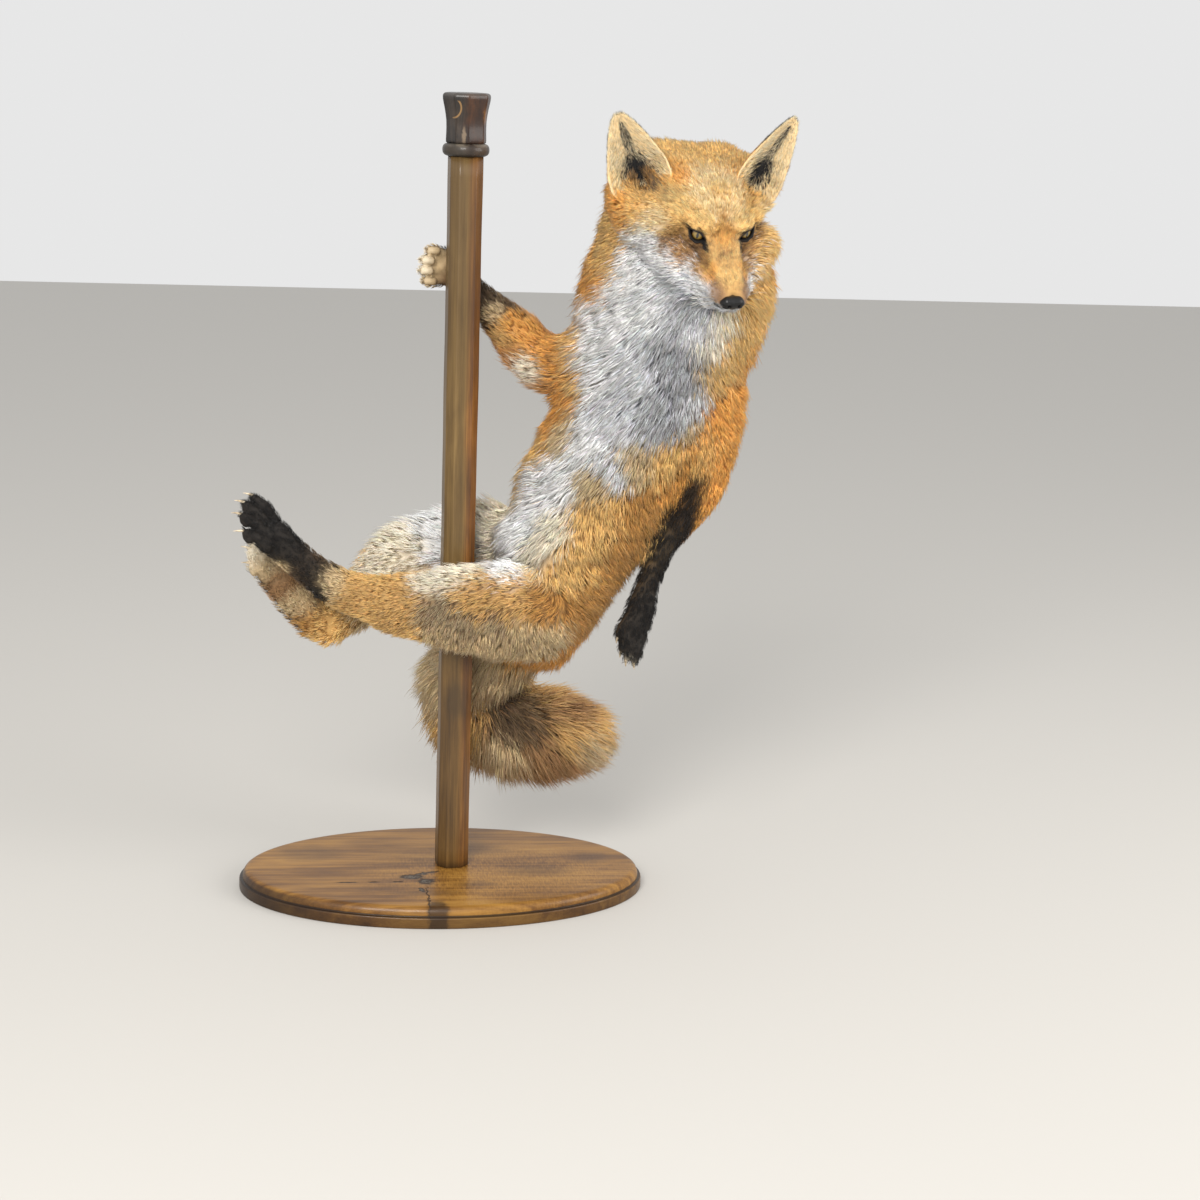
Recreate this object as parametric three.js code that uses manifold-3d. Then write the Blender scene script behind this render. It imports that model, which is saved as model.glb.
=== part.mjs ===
// A mounted red fox that swings round a wooden pole on an oval base.
// Millimetres, +Z up. The origin is the middle of the base's underside, +X runs along the oval's
// long axis, and -Y is the side that the fox looks to. Left and right are the fox's own.

import * as THREE from 'three';
import { mergeVertices } from 'three/addons/utils/BufferGeometryUtils.js';
import Module from 'manifold-3d';

const wasm = await Module();
wasm.setup();

// Stand
const baseLength = 456;
const baseWidth = 268;
const baseHeight = 23;
const baseTopInset = 9;
const poleWidth = 35;
const poleTop = 816;
const poleX = 11;
const poleY = 7.5;
const poleTurn = THREE.MathUtils.degToRad(7);
const poleChamfer = 0.24;
const poleClearance = 0.5;
const collarWidth = 50;
const collarHeight = 13;
const collarRound = 4;
const finialFoot = 38;
const finialTop = 46;
const finialHeight = 52;
const finialChamfer = 0.16;
const finialCrown = 3;

// Fit between pieces that touch
const gap = 0.3;

// Mesh density
const roundSides = 36;
const bodySides = 18;
const headSides = 16;
const legSides = 10;
const toeSides = 5;
const tailSides = 12;
const earSides = 10;

const point = (x, y, z) => new THREE.Vector3(x, y, z);

// ---------------------------------------------------------------- solids

function toSolid(geometry) {
  const bare = geometry.index ? geometry.toNonIndexed() : geometry.clone();
  for (const name of Object.keys(bare.attributes)) {
    if (name !== 'position') bare.deleteAttribute(name);
  }
  const merged = mergeVertices(bare, 1e-4);
  const mesh = new wasm.Mesh({
    numProp: 3,
    vertProperties: new Float32Array(merged.attributes.position.array),
    triVerts: new Uint32Array(merged.index.array),
  });
  return new wasm.Manifold(mesh);
}

function toGeometry(solid) {
  const mesh = solid.getMesh();
  const geometry = new THREE.BufferGeometry();
  geometry.setAttribute('position', new THREE.BufferAttribute(new Float32Array(mesh.vertProperties), 3));
  geometry.setIndex(new THREE.BufferAttribute(new Uint32Array(mesh.triVerts), 1));
  return geometry;
}

// A block that fills one side of a plane, for parting a body with a thin cut.
function beyond(place, normal, size = 600) {
  const block = new THREE.BoxGeometry(size, size, size);
  block.translate(0, 0, size / 2);
  const turn = new THREE.Quaternion().setFromUnitVectors(point(0, 0, 1), normal.clone().normalize());
  block.applyQuaternion(turn);
  block.translate(place.x, place.y, place.z);
  return toSolid(block);
}

// Splits a solid at a plane and leaves the fit's gap between the two pieces.
function part(solid, place, normal) {
  const unit = normal.clone().normalize();
  const far = beyond(place.clone().addScaledVector(unit, gap / 2), unit);
  const near = beyond(place.clone().addScaledVector(unit, -gap / 2), unit.clone().negate());
  return [solid.intersect(near), solid.intersect(far)];
}

// The largest body of a solid, so that a cut leaves no loose crumb.
function largest(solid) {
  const bodies = solid.decompose();
  bodies.sort((a, b) => b.volume() - a.volume());
  return bodies[0];
}

// ---------------------------------------------------------------- sweeps
// A body, leg, tail, toe or ear runs through stations. A station has its place (at), its half
// width (wide), its half depth toward the front (deep) and away from it (back), and the
// direction of that front (face). Both ends are rounded.

function ringAt(centre, tangent, sizes, scale, sides) {
  const across = tangent.clone().cross(sizes.face).normalize();
  const front = across.clone().cross(tangent).normalize();
  const squared = (value) => Math.sign(value) * Math.abs(value) ** sizes.square;
  const ring = [];
  for (let i = 0; i < sides; i += 1) {
    const angle = (i / sides) * Math.PI * 2;
    const side = squared(Math.cos(angle)) * sizes.wide;
    const lift = squared(Math.sin(angle)) * (Math.sin(angle) > 0 ? sizes.deep : sizes.back);
    ring.push(
      centre
        .clone()
        .addScaledVector(across, side * scale)
        .addScaledVector(front, lift * scale),
    );
  }
  return ring;
}

// How far sizes ease in and out of each station, from 0 for straight to 1.
const easing = 0.4;

function sweep(stations, options = {}) {
  const { sides = legSides, steps = 2, grow = 0, endRings = 3, blunt = 0.8, square = 1 } = options;
  const places = new THREE.CatmullRomCurve3(stations.map((s) => s.at), false, 'centripetal');
  const faces = stations.map((s) => s.face.clone().normalize());
  const sizesAt = (t) => {
    const place = Math.min(t * (stations.length - 1), stations.length - 1 - 1e-9);
    const low = Math.floor(place);
    const mix = place - low;
    const ease = THREE.MathUtils.lerp(mix, mix * mix * (3 - 2 * mix), easing);
    const a = stations[low];
    const b = stations[low + 1];
    const blend = (name) => THREE.MathUtils.lerp(a[name], b[name], ease) + grow;
    return {
      wide: blend('wide'),
      deep: blend('deep'),
      back: blend('back'),
      face: faces[low].clone().lerp(faces[low + 1], mix).normalize(),
      square,
    };
  };
  const rings = [];
  const count = (stations.length - 1) * steps;
  const cap = (t, sign) => {
    const centre = places.getPoint(t);
    const tangent = places.getTangent(t);
    const sizes = sizesAt(t);
    const reach = Math.min(sizes.wide, (sizes.deep + sizes.back) / 2) * blunt;
    const made = [];
    for (let k = endRings - 1; k >= 1; k -= 1) {
      const angle = (k / endRings) * (Math.PI / 2);
      const place = centre.clone().addScaledVector(tangent, sign * reach * Math.sin(angle));
      made.push(ringAt(place, tangent, sizes, Math.cos(angle), sides));
    }
    const tip = centre.clone().addScaledVector(tangent, sign * reach);
    return { tip, made };
  };
  const start = cap(0, -1);
  const end = cap(1, 1);
  rings.push(...start.made);
  for (let i = 0; i <= count; i += 1) {
    const t = i / count;
    rings.push(ringAt(places.getPoint(t), places.getTangent(t), sizesAt(t), 1, sides));
  }
  rings.push(...end.made.reverse());
  return ringsToSolid(rings, start.tip, end.tip);
}

function ringsToSolid(rings, firstTip, lastTip) {
  const sides = rings[0].length;
  const vertices = [firstTip, ...rings.flat(), lastTip];
  const faces = [];
  const at = (ring, i) => 1 + ring * sides + (i % sides);
  const last = vertices.length - 1;
  for (let i = 0; i < sides; i += 1) {
    faces.push(0, at(0, i + 1), at(0, i));
    faces.push(last, at(rings.length - 1, i), at(rings.length - 1, i + 1));
    for (let ring = 0; ring < rings.length - 1; ring += 1) {
      faces.push(at(ring, i), at(ring, i + 1), at(ring + 1, i + 1));
      faces.push(at(ring, i), at(ring + 1, i + 1), at(ring + 1, i));
    }
  }
  const geometry = new THREE.BufferGeometry();
  const flat = new Float32Array(vertices.flatMap((v) => [v.x, v.y, v.z]));
  geometry.setAttribute('position', new THREE.BufferAttribute(flat, 3));
  geometry.setIndex(faces);
  const solid = toSolid(geometry);
  if (solid.volume() > 0) return solid;
  for (let i = 0; i < faces.length; i += 3) {
    [faces[i + 1], faces[i + 2]] = [faces[i + 2], faces[i + 1]];
  }
  geometry.setIndex(faces);
  return toSolid(geometry);
}

// The room that a swept body takes up, with the fit's gap around it.
function room(stations, options) {
  return sweep(stations, { ...options, grow: gap }).add(sweep(stations, options));
}

const station = (at, wide, deep, back, face) => ({ at, wide, deep, back, face });

// ---------------------------------------------------------------- trunk and neck

const chestFace = point(-0.28, -0.96, 0.0);
const ribFace = point(-0.34, -0.93, 0.1);
const loinFace = point(-0.78, -0.5, 0.38);
const pelvisFace = point(-0.85, -0.2, 0.45);

const trunkStations = [
  station(point(252, 2, 746), 98, 50, 68, chestFace),
  station(point(248, 8, 694), 106, 62, 72, chestFace),
  station(point(237, 15, 647), 104, 70, 72, chestFace),
  station(point(220, 25, 597), 94, 76, 72, chestFace),
  station(point(196, 30, 528), 84, 74, 70, ribFace),
  station(point(161, 32, 440), 88, 74, 64, ribFace),
  station(point(138, 27, 378), 76, 92, 56, loinFace),
  station(point(114, 18, 322), 66, 60, 54, pelvisFace),
  station(point(104, 18, 288), 48, 42, 42, pelvisFace),
];
const trunkAt = (i) => trunkStations[i].at;
const trunkRun = (i) => trunkAt(i + 1).clone().sub(trunkAt(i - 1));

// ---------------------------------------------------------------- head
// The head has its own frame: forward along the muzzle's line, up through the crown and left
// toward the fox's left ear, from a point midway between the eyes.

const headYaw = THREE.MathUtils.degToRad(13);
const headPitch = THREE.MathUtils.degToRad(37);
const headRoll = THREE.MathUtils.degToRad(3);
const headPlace = point(274.5, -59, 752.5);

const headForward = point(
  Math.sin(headYaw) * Math.cos(headPitch),
  -Math.cos(headYaw) * Math.cos(headPitch),
  -Math.sin(headPitch),
);
const levelLeft = point(Math.cos(headYaw), Math.sin(headYaw), 0);
const levelUp = levelLeft.clone().cross(headForward).negate();
const headLeft = levelLeft
  .clone()
  .multiplyScalar(Math.cos(headRoll))
  .addScaledVector(levelUp, Math.sin(headRoll));
const headUp = headLeft.clone().cross(headForward).negate();

function inHead(left, forward, up) {
  return headPlace
    .clone()
    .addScaledVector(headLeft, left)
    .addScaledVector(headForward, forward)
    .addScaledVector(headUp, up);
}

// One cross-section of the head: how far forward it lies, its middle, its half width and its
// rise and fall from that middle.
const headDown = headUp.clone().negate();
const headRight = headLeft.clone().negate();
const headSection = (forward, left, up, wide, rise, fall) =>
  station(inHead(left, forward, up), wide, fall, rise, headDown);

const headStations = [
  headSection(-96, -14, 2, 76, 42, 44),
  headSection(-72, -13, 0, 98, 54, 54),
  headSection(-46, -10, -5, 104, 57, 54),
  headSection(-22, -4, -7, 76, 52, 52),
  headSection(-6, 0, -9, 46, 37, 45),
  headSection(8, 0, -14, 30, 22, 38),
  headSection(24, 0, -20, 22, 17, 29),
  headSection(44, 0, -26, 17.5, 14, 22),
  headSection(64, 0, -30, 14.5, 12, 17),
  headSection(76, 0, -31, 12, 9, 12),
];

const snoutCut = inHead(0, 22, 0);
const lipCut = { at: inHead(0, 60, -41), run: headDown.clone().addScaledVector(headForward, -0.12) };
const noseSeat = inHead(0, 80, -28);
const noseSize = point(11.5, 8, 8.5);

const eyeRadius = 9.5;
const eyeSeats = {
  right: inHead(-24.5, 2.5, 0),
  left: inHead(24.5, 2.5, 0),
};

function makeBall(seat, radius) {
  const ball = new THREE.SphereGeometry(radius, 12, 6);
  ball.translate(seat.x, seat.y, seat.z);
  return toSolid(ball);
}

function makeNose(grow = 0) {
  const pad = new THREE.SphereGeometry(1, 10, 6);
  pad.scale(noseSize.x + grow, noseSize.y + grow, noseSize.z + grow);
  pad.applyMatrix4(new THREE.Matrix4().makeBasis(headRight, headForward, headUp));
  pad.translate(noseSeat.x, noseSeat.y, noseSeat.z);
  return toSolid(pad);
}

// ---------------------------------------------------------------- ears

const earDeepness = 0.5;

// How far up the ear, and the share of its width there.
const earProfile = [
  [-0.12, 1.0],
  [0.12, 1.0],
  [0.34, 0.92],
  [0.56, 0.73],
  [0.78, 0.44],
  [0.96, 0.09],
];

function earStations(root, tip, opening, width) {
  const rise = tip.clone().sub(root);
  const at = (t) => root.clone().addScaledVector(rise, t);
  return earProfile.map(([t, share]) => {
    const wide = width * share;
    const deep = wide * earDeepness;
    return station(at(t), wide, deep, deep, opening);
  });
}

const earOptions = { sides: earSides, steps: 1, endRings: 2, blunt: 0.5 };
const cupShare = 0.86;
const cupOffset = 0.3;

// A shell with a cup hollowed into the side that it opens to.
function makeEar({ root, tip, opening, width }) {
  const shell = sweep(earStations(root, tip, opening, width), earOptions);
  const inward = opening.clone().normalize().multiplyScalar(width * cupOffset);
  const rise = tip.clone().sub(root);
  const cupRoot = root.clone().add(inward).addScaledVector(rise, 0.22);
  const cupTip = tip.clone().add(inward).addScaledVector(rise, -0.02);
  return shell.subtract(sweep(earStations(cupRoot, cupTip, opening, width * cupShare), earOptions));
}

const ears = {
  right: {
    root: point(199, -16, 790),
    tip: point(166, -4, 872),
    opening: point(-0.25, -0.96, 0.1),
    width: 35,
  },
  left: {
    root: point(309, -12, 790),
    tip: point(363, -2, 868),
    opening: point(0.5, -0.86, 0.1),
    width: 33,
  },
};

// ---------------------------------------------------------------- legs

const faceViewer = point(-0.15, -0.98, 0);
const legs = {
  foreleg_right: {
    stations: [
      station(point(176, 14, 606), 52, 42, 42, faceViewer),
      station(point(138, 34, 590), 44, 34, 34, faceViewer),
      station(point(103, 50, 594), 35, 28, 28, faceViewer),
      station(point(73, 51, 624), 28, 22, 22, faceViewer),
      station(point(43, 49, 653), 21, 18, 18, faceViewer),
      station(point(21, 47, 673), 16, 14, 14, faceViewer),
      station(point(6, 46, 686), 17, 13, 13, faceViewer),
      station(point(-8, 40, 696), 18, 12, 12, faceViewer),
    ],
    splits: [2, 5],
  },
  foreleg_left: {
    stations: [
      station(point(272, 8, 606), 52, 44, 50, faceViewer),
      station(point(289, 6, 545), 36, 36, 42, faceViewer),
      station(point(280, 7, 470), 29, 30, 34, faceViewer),
      station(point(260, 2, 432), 22, 22, 22, faceViewer),
      station(point(238, -7, 400), 18, 17, 17, faceViewer),
      station(point(219, -18, 356), 16, 14, 14, faceViewer),
      station(point(213, -24, 334), 19, 13, 13, faceViewer),
      station(point(207, -29, 312), 20, 12, 12, faceViewer),
    ],
    splits: [2, 5],
  },
  hindleg_left: {
    stations: [
      station(point(114, -16, 326), 60, 44, 40, faceViewer),
      station(point(62, -38, 333), 60, 42, 30, faceViewer),
      station(point(4, -46, 338), 52, 34, 32, faceViewer),
      station(point(-49, -42, 339), 41, 26, 26, faceViewer),
      station(point(-84, -34, 344), 29, 20, 20, faceViewer),
      station(point(-114, -28, 352), 24, 17, 17, faceViewer),
      station(point(-145, -29, 371), 20, 15, 15, faceViewer),
      station(point(-172, -31, 394), 20, 14, 14, faceViewer),
      station(point(-193, -34, 416), 23, 13, 13, faceViewer),
    ],
    splits: [3, 5],
  },
  hindleg_right: {
    stations: [
      station(point(104, 44, 345), 76, 40, 44, faceViewer),
      station(point(40, 66, 364), 76, 38, 38, faceViewer),
      station(point(-36, 62, 366), 49, 32, 32, faceViewer),
      station(point(-84, 48, 334), 31, 23, 23, faceViewer),
      station(point(-128, 30, 300), 30, 20, 20, faceViewer),
      station(point(-157, 20, 321), 24, 16, 16, faceViewer),
      station(point(-178, 13, 344), 21, 14, 14, faceViewer),
      station(point(-195, 9, 368), 21, 13, 13, faceViewer),
    ],
    splits: [2, 4],
  },
};

// Four toes fan out from the ball of a foot. Each carries a claw.
const feet = {
  foreleg_right: {
    tips: point(-30, 24, 699),
    across: point(0.1, 0, 1),
    pace: 11,
    sole: point(0.4, -0.9, 0),
  },
  foreleg_left: {
    tips: point(196, -33, 284),
    across: point(0.5, -0.1, -0.8),
    pace: 11,
    sole: point(0.6, 0.7, 0.2),
  },
  hindleg_left: {
    tips: point(-219, -36, 440),
    across: point(-0.2, -0.45, -0.87),
    pace: 13,
    sole: point(-0.6, -0.2, -0.7),
  },
  hindleg_right: {
    tips: point(-212, 4, 392),
    across: point(-0.2, -0.45, -0.87),
    pace: 11,
    sole: point(-0.6, -0.2, -0.7),
  },
};
const toeCount = 4;
const toeRadius = 8;
const toeArch = 2.5;
const outerToeReach = 0.78;
const ballSpread = 0.75;
const clawLength = 13;
const clawRadius = 2.4;
const clawTip = 0.5;
const toeOptions = { sides: toeSides, steps: 1, endRings: 2 };
const clawOptions = { sides: 4, steps: 1, endRings: 1 };

function makeToes(leg, foot) {
  const ball = leg.stations[leg.stations.length - 1].at;
  const run = foot.tips.clone().sub(ball);
  const across = foot.across.clone().normalize();
  const sole = foot.sole.clone().normalize();
  const toes = [];
  const toeRooms = [];
  const claws = [];
  for (let i = 0; i < toeCount; i += 1) {
    const offset = i - (toeCount - 1) / 2;
    const reach = Math.abs(offset) > 1 ? outerToeReach : 1;
    const root = ball.clone().addScaledVector(across, offset * foot.pace * ballSpread);
    const tip = ball.clone().addScaledVector(run, reach).addScaledVector(across, offset * foot.pace);
    const middle = root.clone().lerp(tip, 0.55).addScaledVector(sole, -toeArch);
    const toeStations = [
      station(root, toeRadius, toeRadius, toeRadius, sole),
      station(middle, toeRadius, toeRadius, toeRadius, sole),
      station(tip, toeRadius * 0.85, toeRadius, toeRadius * 0.8, sole),
    ];
    toes.push(sweep(toeStations, toeOptions));
    const along = tip.clone().sub(middle).normalize();
    const clawRoot = tip.clone().addScaledVector(sole, -toeArch * 0.8);
    const bend = clawRoot.clone().addScaledVector(along, clawLength * 0.75);
    const end = clawRoot
      .clone()
      .addScaledVector(along, clawLength * 1.25)
      .addScaledVector(sole, clawLength * 0.35);
    const clawStations = [
      station(clawRoot, clawRadius, clawRadius * 1.3, clawRadius * 1.3, sole),
      station(bend, clawRadius * 0.75, clawRadius, clawRadius, sole),
      station(end, clawTip, clawTip, clawTip, sole),
    ];
    claws.push(sweep(clawStations, clawOptions));
    toeRooms.push(room(toeStations, toeOptions));
  }
  const clear = (claw) => toeRooms.reduce((rest, toe) => rest.subtract(toe), claw);
  return { toes, claws: claws.map(clear) };
}

// ---------------------------------------------------------------- tail

const tailFace = point(0, -1, 0);
const tailStations = [
  station(point(102, 40, 288), 36, 32, 32, tailFace),
  station(point(58, 66, 255), 49, 36, 36, tailFace),
  station(point(28, 84, 217), 54, 40, 40, tailFace),
  station(point(38, 88, 182), 55, 44, 44, tailFace),
  station(point(80, 82, 160), 57, 48, 48, tailFace),
  station(point(128, 70, 156), 58, 48, 48, tailFace),
  station(point(166, 60, 157), 42, 38, 38, tailFace),
];
// The cut below the root rises over the brush, which curls back under it.
const rootCut = { at: tailStations[2].at, run: point(0.15, 0.2, -1) };
const tipCut = { at: tailStations[4].at, run: tailStations[5].at.clone().sub(tailStations[3].at) };

// ---------------------------------------------------------------- stand

const poleAxis = new THREE.Vector2(poleX, poleY);

function ovalAt(height, inset) {
  const oval = new THREE.EllipseCurve(0, 0, baseLength / 2 - inset, baseWidth / 2 - inset);
  const ring = oval.getPoints(roundSides).slice(0, roundSides);
  return ring.map((p) => point(p.x, p.y, height));
}

// The oval base has a square lower edge, a small step and a rounded lip.
function makeBase() {
  const lipSteps = 3;
  const edgeBreak = 1;
  const stepHeight = 12;
  const stepInset = 3;
  const lipFoot = stepHeight + 0.6;
  const levels = [
    [0, edgeBreak],
    [edgeBreak, 0],
    [stepHeight, 0],
    [lipFoot, stepInset],
  ];
  for (let i = 1; i <= lipSteps; i += 1) {
    const angle = (i / lipSteps) * (Math.PI / 2);
    levels.push([
      lipFoot + (baseHeight - lipFoot) * Math.sin(angle),
      stepInset + (baseTopInset - stepInset) * (1 - Math.cos(angle)),
    ]);
  }
  const rings = levels.map(([height, inset]) => ovalAt(height, inset));
  return ringsToSolid(rings, point(0, 0, 0), point(0, 0, baseHeight));
}

// A square post with wide chamfers, turned a little on the base.
function octagon(width, chamfer) {
  const half = width / 2;
  const corner = half - chamfer;
  const shape = new THREE.Shape();
  shape.moveTo(half, -corner);
  shape.lineTo(half, corner);
  shape.lineTo(corner, half);
  shape.lineTo(-corner, half);
  shape.lineTo(-half, corner);
  shape.lineTo(-half, -corner);
  shape.lineTo(-corner, -half);
  shape.lineTo(corner, -half);
  shape.closePath();
  return shape;
}

function onPole(geometry, z) {
  geometry.rotateZ(poleTurn);
  geometry.translate(poleAxis.x, poleAxis.y, z);
  return geometry;
}

function makePole(grow = 0) {
  const width = poleWidth + 2 * grow;
  const post = new THREE.ExtrudeGeometry(octagon(width, width * poleChamfer), {
    depth: poleTop - baseHeight - gap,
    bevelEnabled: false,
  });
  return toSolid(onPole(post, baseHeight + gap));
}

function makeCollar() {
  const half = collarHeight / 2;
  const profile = [new THREE.Vector2(0, -half)];
  const roundSteps = 4;
  for (let i = 0; i <= roundSteps; i += 1) {
    const angle = (i / roundSteps - 0.5) * Math.PI;
    const reach = collarWidth / 2 - collarRound * (1 - Math.cos(angle));
    profile.push(new THREE.Vector2(reach, (half - 0.2) * Math.sin(angle)));
  }
  profile.push(new THREE.Vector2(0, half));
  const ring = new THREE.LatheGeometry(profile, 16);
  ring.rotateX(Math.PI / 2);
  return toSolid(onPole(ring, poleTop + gap + half));
}

// Four faces with chamfered corners flare toward a softly rounded top.
function makeFinial() {
  const start = poleTop + collarHeight + 2 * gap;
  const levels = [
    [0, finialFoot],
    [finialHeight * 0.5, finialFoot * 1.03],
    [finialHeight * 0.8, finialTop * 0.97],
    [finialHeight - finialCrown, finialTop],
    [finialHeight, finialTop - 2 * finialCrown],
  ];
  const rings = levels.map(([height, width]) =>
    octagon(width, width * finialChamfer)
      .getPoints(1)
      .slice(0, 8)
      .map((p) => p.rotateAround(new THREE.Vector2(), poleTurn).add(poleAxis))
      .map((p) => point(p.x, p.y, start + height)),
  );
  return ringsToSolid(
    rings,
    point(poleX, poleY, start),
    point(poleX, poleY, start + finialHeight),
  );
}

// ---------------------------------------------------------------- assembly

const fox = new THREE.Group();

function add(name, solid, color, roughness = 0.85, metalness = 0) {
  const mesh = new THREE.Mesh(
    toGeometry(largest(solid)),
    new THREE.MeshStandardMaterial({ color, roughness, metalness }),
  );
  mesh.name = name;
  fox.add(mesh);
}

const colours = {
  stain: 0x6b4a26,
  darkStain: 0x3a2a20,
  orange: 0xc98a4b,
  cream: 0xd8c9ae,
  grey: 0xb9b6b4,
  black: 0x1d1a19,
  brush: 0x9a7448,
  claw: 0xcdbb9c,
  amber: 0x8a7433,
  nose: 0x141416,
};

add('base', makeBase(), colours.stain, 0.3);
add('pole', makePole(), colours.stain, 0.4);
add('collar', makeCollar(), colours.darkStain, 0.5);
add('finial', makeFinial(), colours.darkStain, 0.3);

const poleRoom = makePole(poleClearance);

// Head first, then the eyes, nose and ears that seat in it.
const headOptions = { sides: headSides, steps: 2, square: 0.9 };
const headSolid = sweep(headStations, headOptions);
const headRoom = room(headStations, headOptions);

let skull = headSolid;
for (const [side, seat] of Object.entries(eyeSeats)) {
  skull = skull.subtract(makeBall(seat, eyeRadius + gap));
  add(`eye_${side}`, makeBall(seat, eyeRadius), colours.amber, 0.1);
}

skull = skull.subtract(makeNose(gap));
add('nose', makeNose(), colours.nose, 0.25);

const [cranium, snout] = part(skull, snoutCut, headForward);
const [muzzle, jaw] = part(snout, lipCut.at, lipCut.run);
add('head', cranium, colours.orange);
add('muzzle', muzzle, colours.orange);
add('jaw', jaw, colours.cream);

const trunkOptions = { sides: bodySides, steps: 2 };
const trunkRoom = room(trunkStations, trunkOptions);
for (const [side, ear] of Object.entries(ears)) {
  add(`ear_${side}`, makeEar(ear).subtract(headRoom).subtract(trunkRoom), colours.orange);
}

// Neck and trunk are one body, parted at the throat, behind the ribs and at the loin.
const trunk = sweep(trunkStations, trunkOptions).subtract(headRoom).subtract(poleRoom);
const [neck, belowNeck] = part(trunk, trunkAt(2), trunkRun(2));
const [chest, belowChest] = part(belowNeck, trunkAt(5), trunkRun(5));
const [loin, pelvis] = part(belowChest, trunkAt(6), trunkRun(6));
add('neck', neck, colours.cream);
add('chest', chest, colours.grey);
add('loin', loin, colours.cream);
add('pelvis', pelvis, colours.orange);

const legOptions = { sides: legSides, steps: 2, endRings: 2 };
const taken = [headRoom, trunkRoom, poleRoom];
const segmentNames = { fore: ['upper', 'lower', 'paw'], hind: ['thigh', 'shank', 'foot'] };

for (const [name, leg] of Object.entries(legs)) {
  let whole = sweep(leg.stations, legOptions);
  const { toes, claws } = makeToes(leg, feet[name]);
  for (const toe of toes) whole = whole.add(toe);
  for (const space of taken) whole = whole.subtract(space);
  const names = name.startsWith('fore') ? segmentNames.fore : segmentNames.hind;
  let rest = whole;
  leg.splits.forEach((index, k) => {
    const run = leg.stations[index + 1].at.clone().sub(leg.stations[index - 1].at);
    const [near, far] = part(rest, leg.stations[index].at, run);
    add(`${name}_${names[k]}`, near, colours.orange);
    rest = far;
  });
  add(`${name}_${names[2]}`, rest, colours.black);
  claws.forEach((claw, k) => add(`claw_${name}_${k + 1}`, claw, colours.claw, 0.4));
  taken.push(room(leg.stations, legOptions));
}

let tail = sweep(tailStations, { sides: tailSides, steps: 2 });
for (const space of taken) tail = tail.subtract(space);
const [tailRoot, tailRest] = part(tail, rootCut.at, rootCut.run);
const [tailMiddle, tailEnd] = part(tailRest, tipCut.at, tipCut.run);
add('tail_root', tailRoot, colours.cream);
add('tail_brush', tailMiddle, colours.brush);
add('tail_tip', tailEnd, colours.brush);

export default fox;
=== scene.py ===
import math
import time

import bpy
import numpy as np
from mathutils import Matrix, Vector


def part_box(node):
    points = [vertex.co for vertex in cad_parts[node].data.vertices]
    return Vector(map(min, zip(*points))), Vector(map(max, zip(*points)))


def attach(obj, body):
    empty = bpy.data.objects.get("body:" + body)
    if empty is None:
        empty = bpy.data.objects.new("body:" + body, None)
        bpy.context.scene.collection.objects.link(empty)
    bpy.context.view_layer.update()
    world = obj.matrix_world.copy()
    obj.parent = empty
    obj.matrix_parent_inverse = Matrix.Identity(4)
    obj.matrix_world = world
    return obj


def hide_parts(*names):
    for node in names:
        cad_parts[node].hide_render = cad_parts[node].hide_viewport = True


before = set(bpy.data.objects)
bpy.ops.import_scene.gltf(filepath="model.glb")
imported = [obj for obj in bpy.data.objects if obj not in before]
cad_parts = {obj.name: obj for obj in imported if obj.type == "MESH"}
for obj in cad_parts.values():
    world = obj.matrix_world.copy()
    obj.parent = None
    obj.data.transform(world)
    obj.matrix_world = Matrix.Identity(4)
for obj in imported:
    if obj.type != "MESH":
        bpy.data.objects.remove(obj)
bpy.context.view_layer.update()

import openvdb
from mathutils import Matrix, Vector, noise

mm = 0.001
started = time.time()
tau = 2 * math.pi


def note(words):
    print(f"[{time.time() - started:6.1f} s] {words}", flush=True)


# small geometry helpers
def unit(vectors):
    vectors = np.asarray(vectors, float)
    size = np.linalg.norm(vectors, axis=-1, keepdims=True)
    return vectors / np.maximum(size, 1e-12)


def dots(first, second):
    return (first * second).sum(-1)


def mix(first, second, share):
    return first + (second - first) * share


def smoothStep(low, high, value):
    share = np.clip((value - low) / (high - low), 0, 1)
    return share * share * (3 - 2 * share)


def cornersOf(mesh):
    mesh.calc_loop_triangles()
    places = np.empty(len(mesh.vertices) * 3, np.float32)
    corners = np.empty(len(mesh.loop_triangles) * 3, np.int32)
    mesh.vertices.foreach_get("co", places)
    mesh.loop_triangles.foreach_get("vertices", corners)
    return places.reshape(-1, 3), corners.reshape(-1, 3)


def cornersOfNodes(names):
    places, corners, count = [], [], 0
    for name in names:
        nodePlaces, nodeCorners = cornersOf(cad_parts[name].data)
        places.append(nodePlaces)
        corners.append(nodeCorners + count)
        count += len(nodePlaces)
    return np.concatenate(places), np.concatenate(corners)


def makeMesh(name, places, faces, smooth=True):
    mesh = bpy.data.meshes.new(name)
    places = np.ascontiguousarray(places, np.float32)
    if isinstance(faces, np.ndarray):
        count, sides = faces.shape
        mesh.vertices.add(len(places))
        mesh.vertices.foreach_set("co", places.ravel())
        mesh.loops.add(count * sides)
        mesh.loops.foreach_set("vertex_index", np.ascontiguousarray(faces, np.int32).ravel())
        mesh.polygons.add(count)
        mesh.polygons.foreach_set("loop_start", np.arange(0, count * sides, sides, dtype=np.int32))
        mesh.update(calc_edges=True)
    else:
        mesh.from_pydata([tuple(place) for place in places.tolist()], [], faces)
    mesh.validate()
    mesh.polygons.foreach_set("use_smooth", np.full(len(mesh.polygons), smooth))
    return mesh


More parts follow.
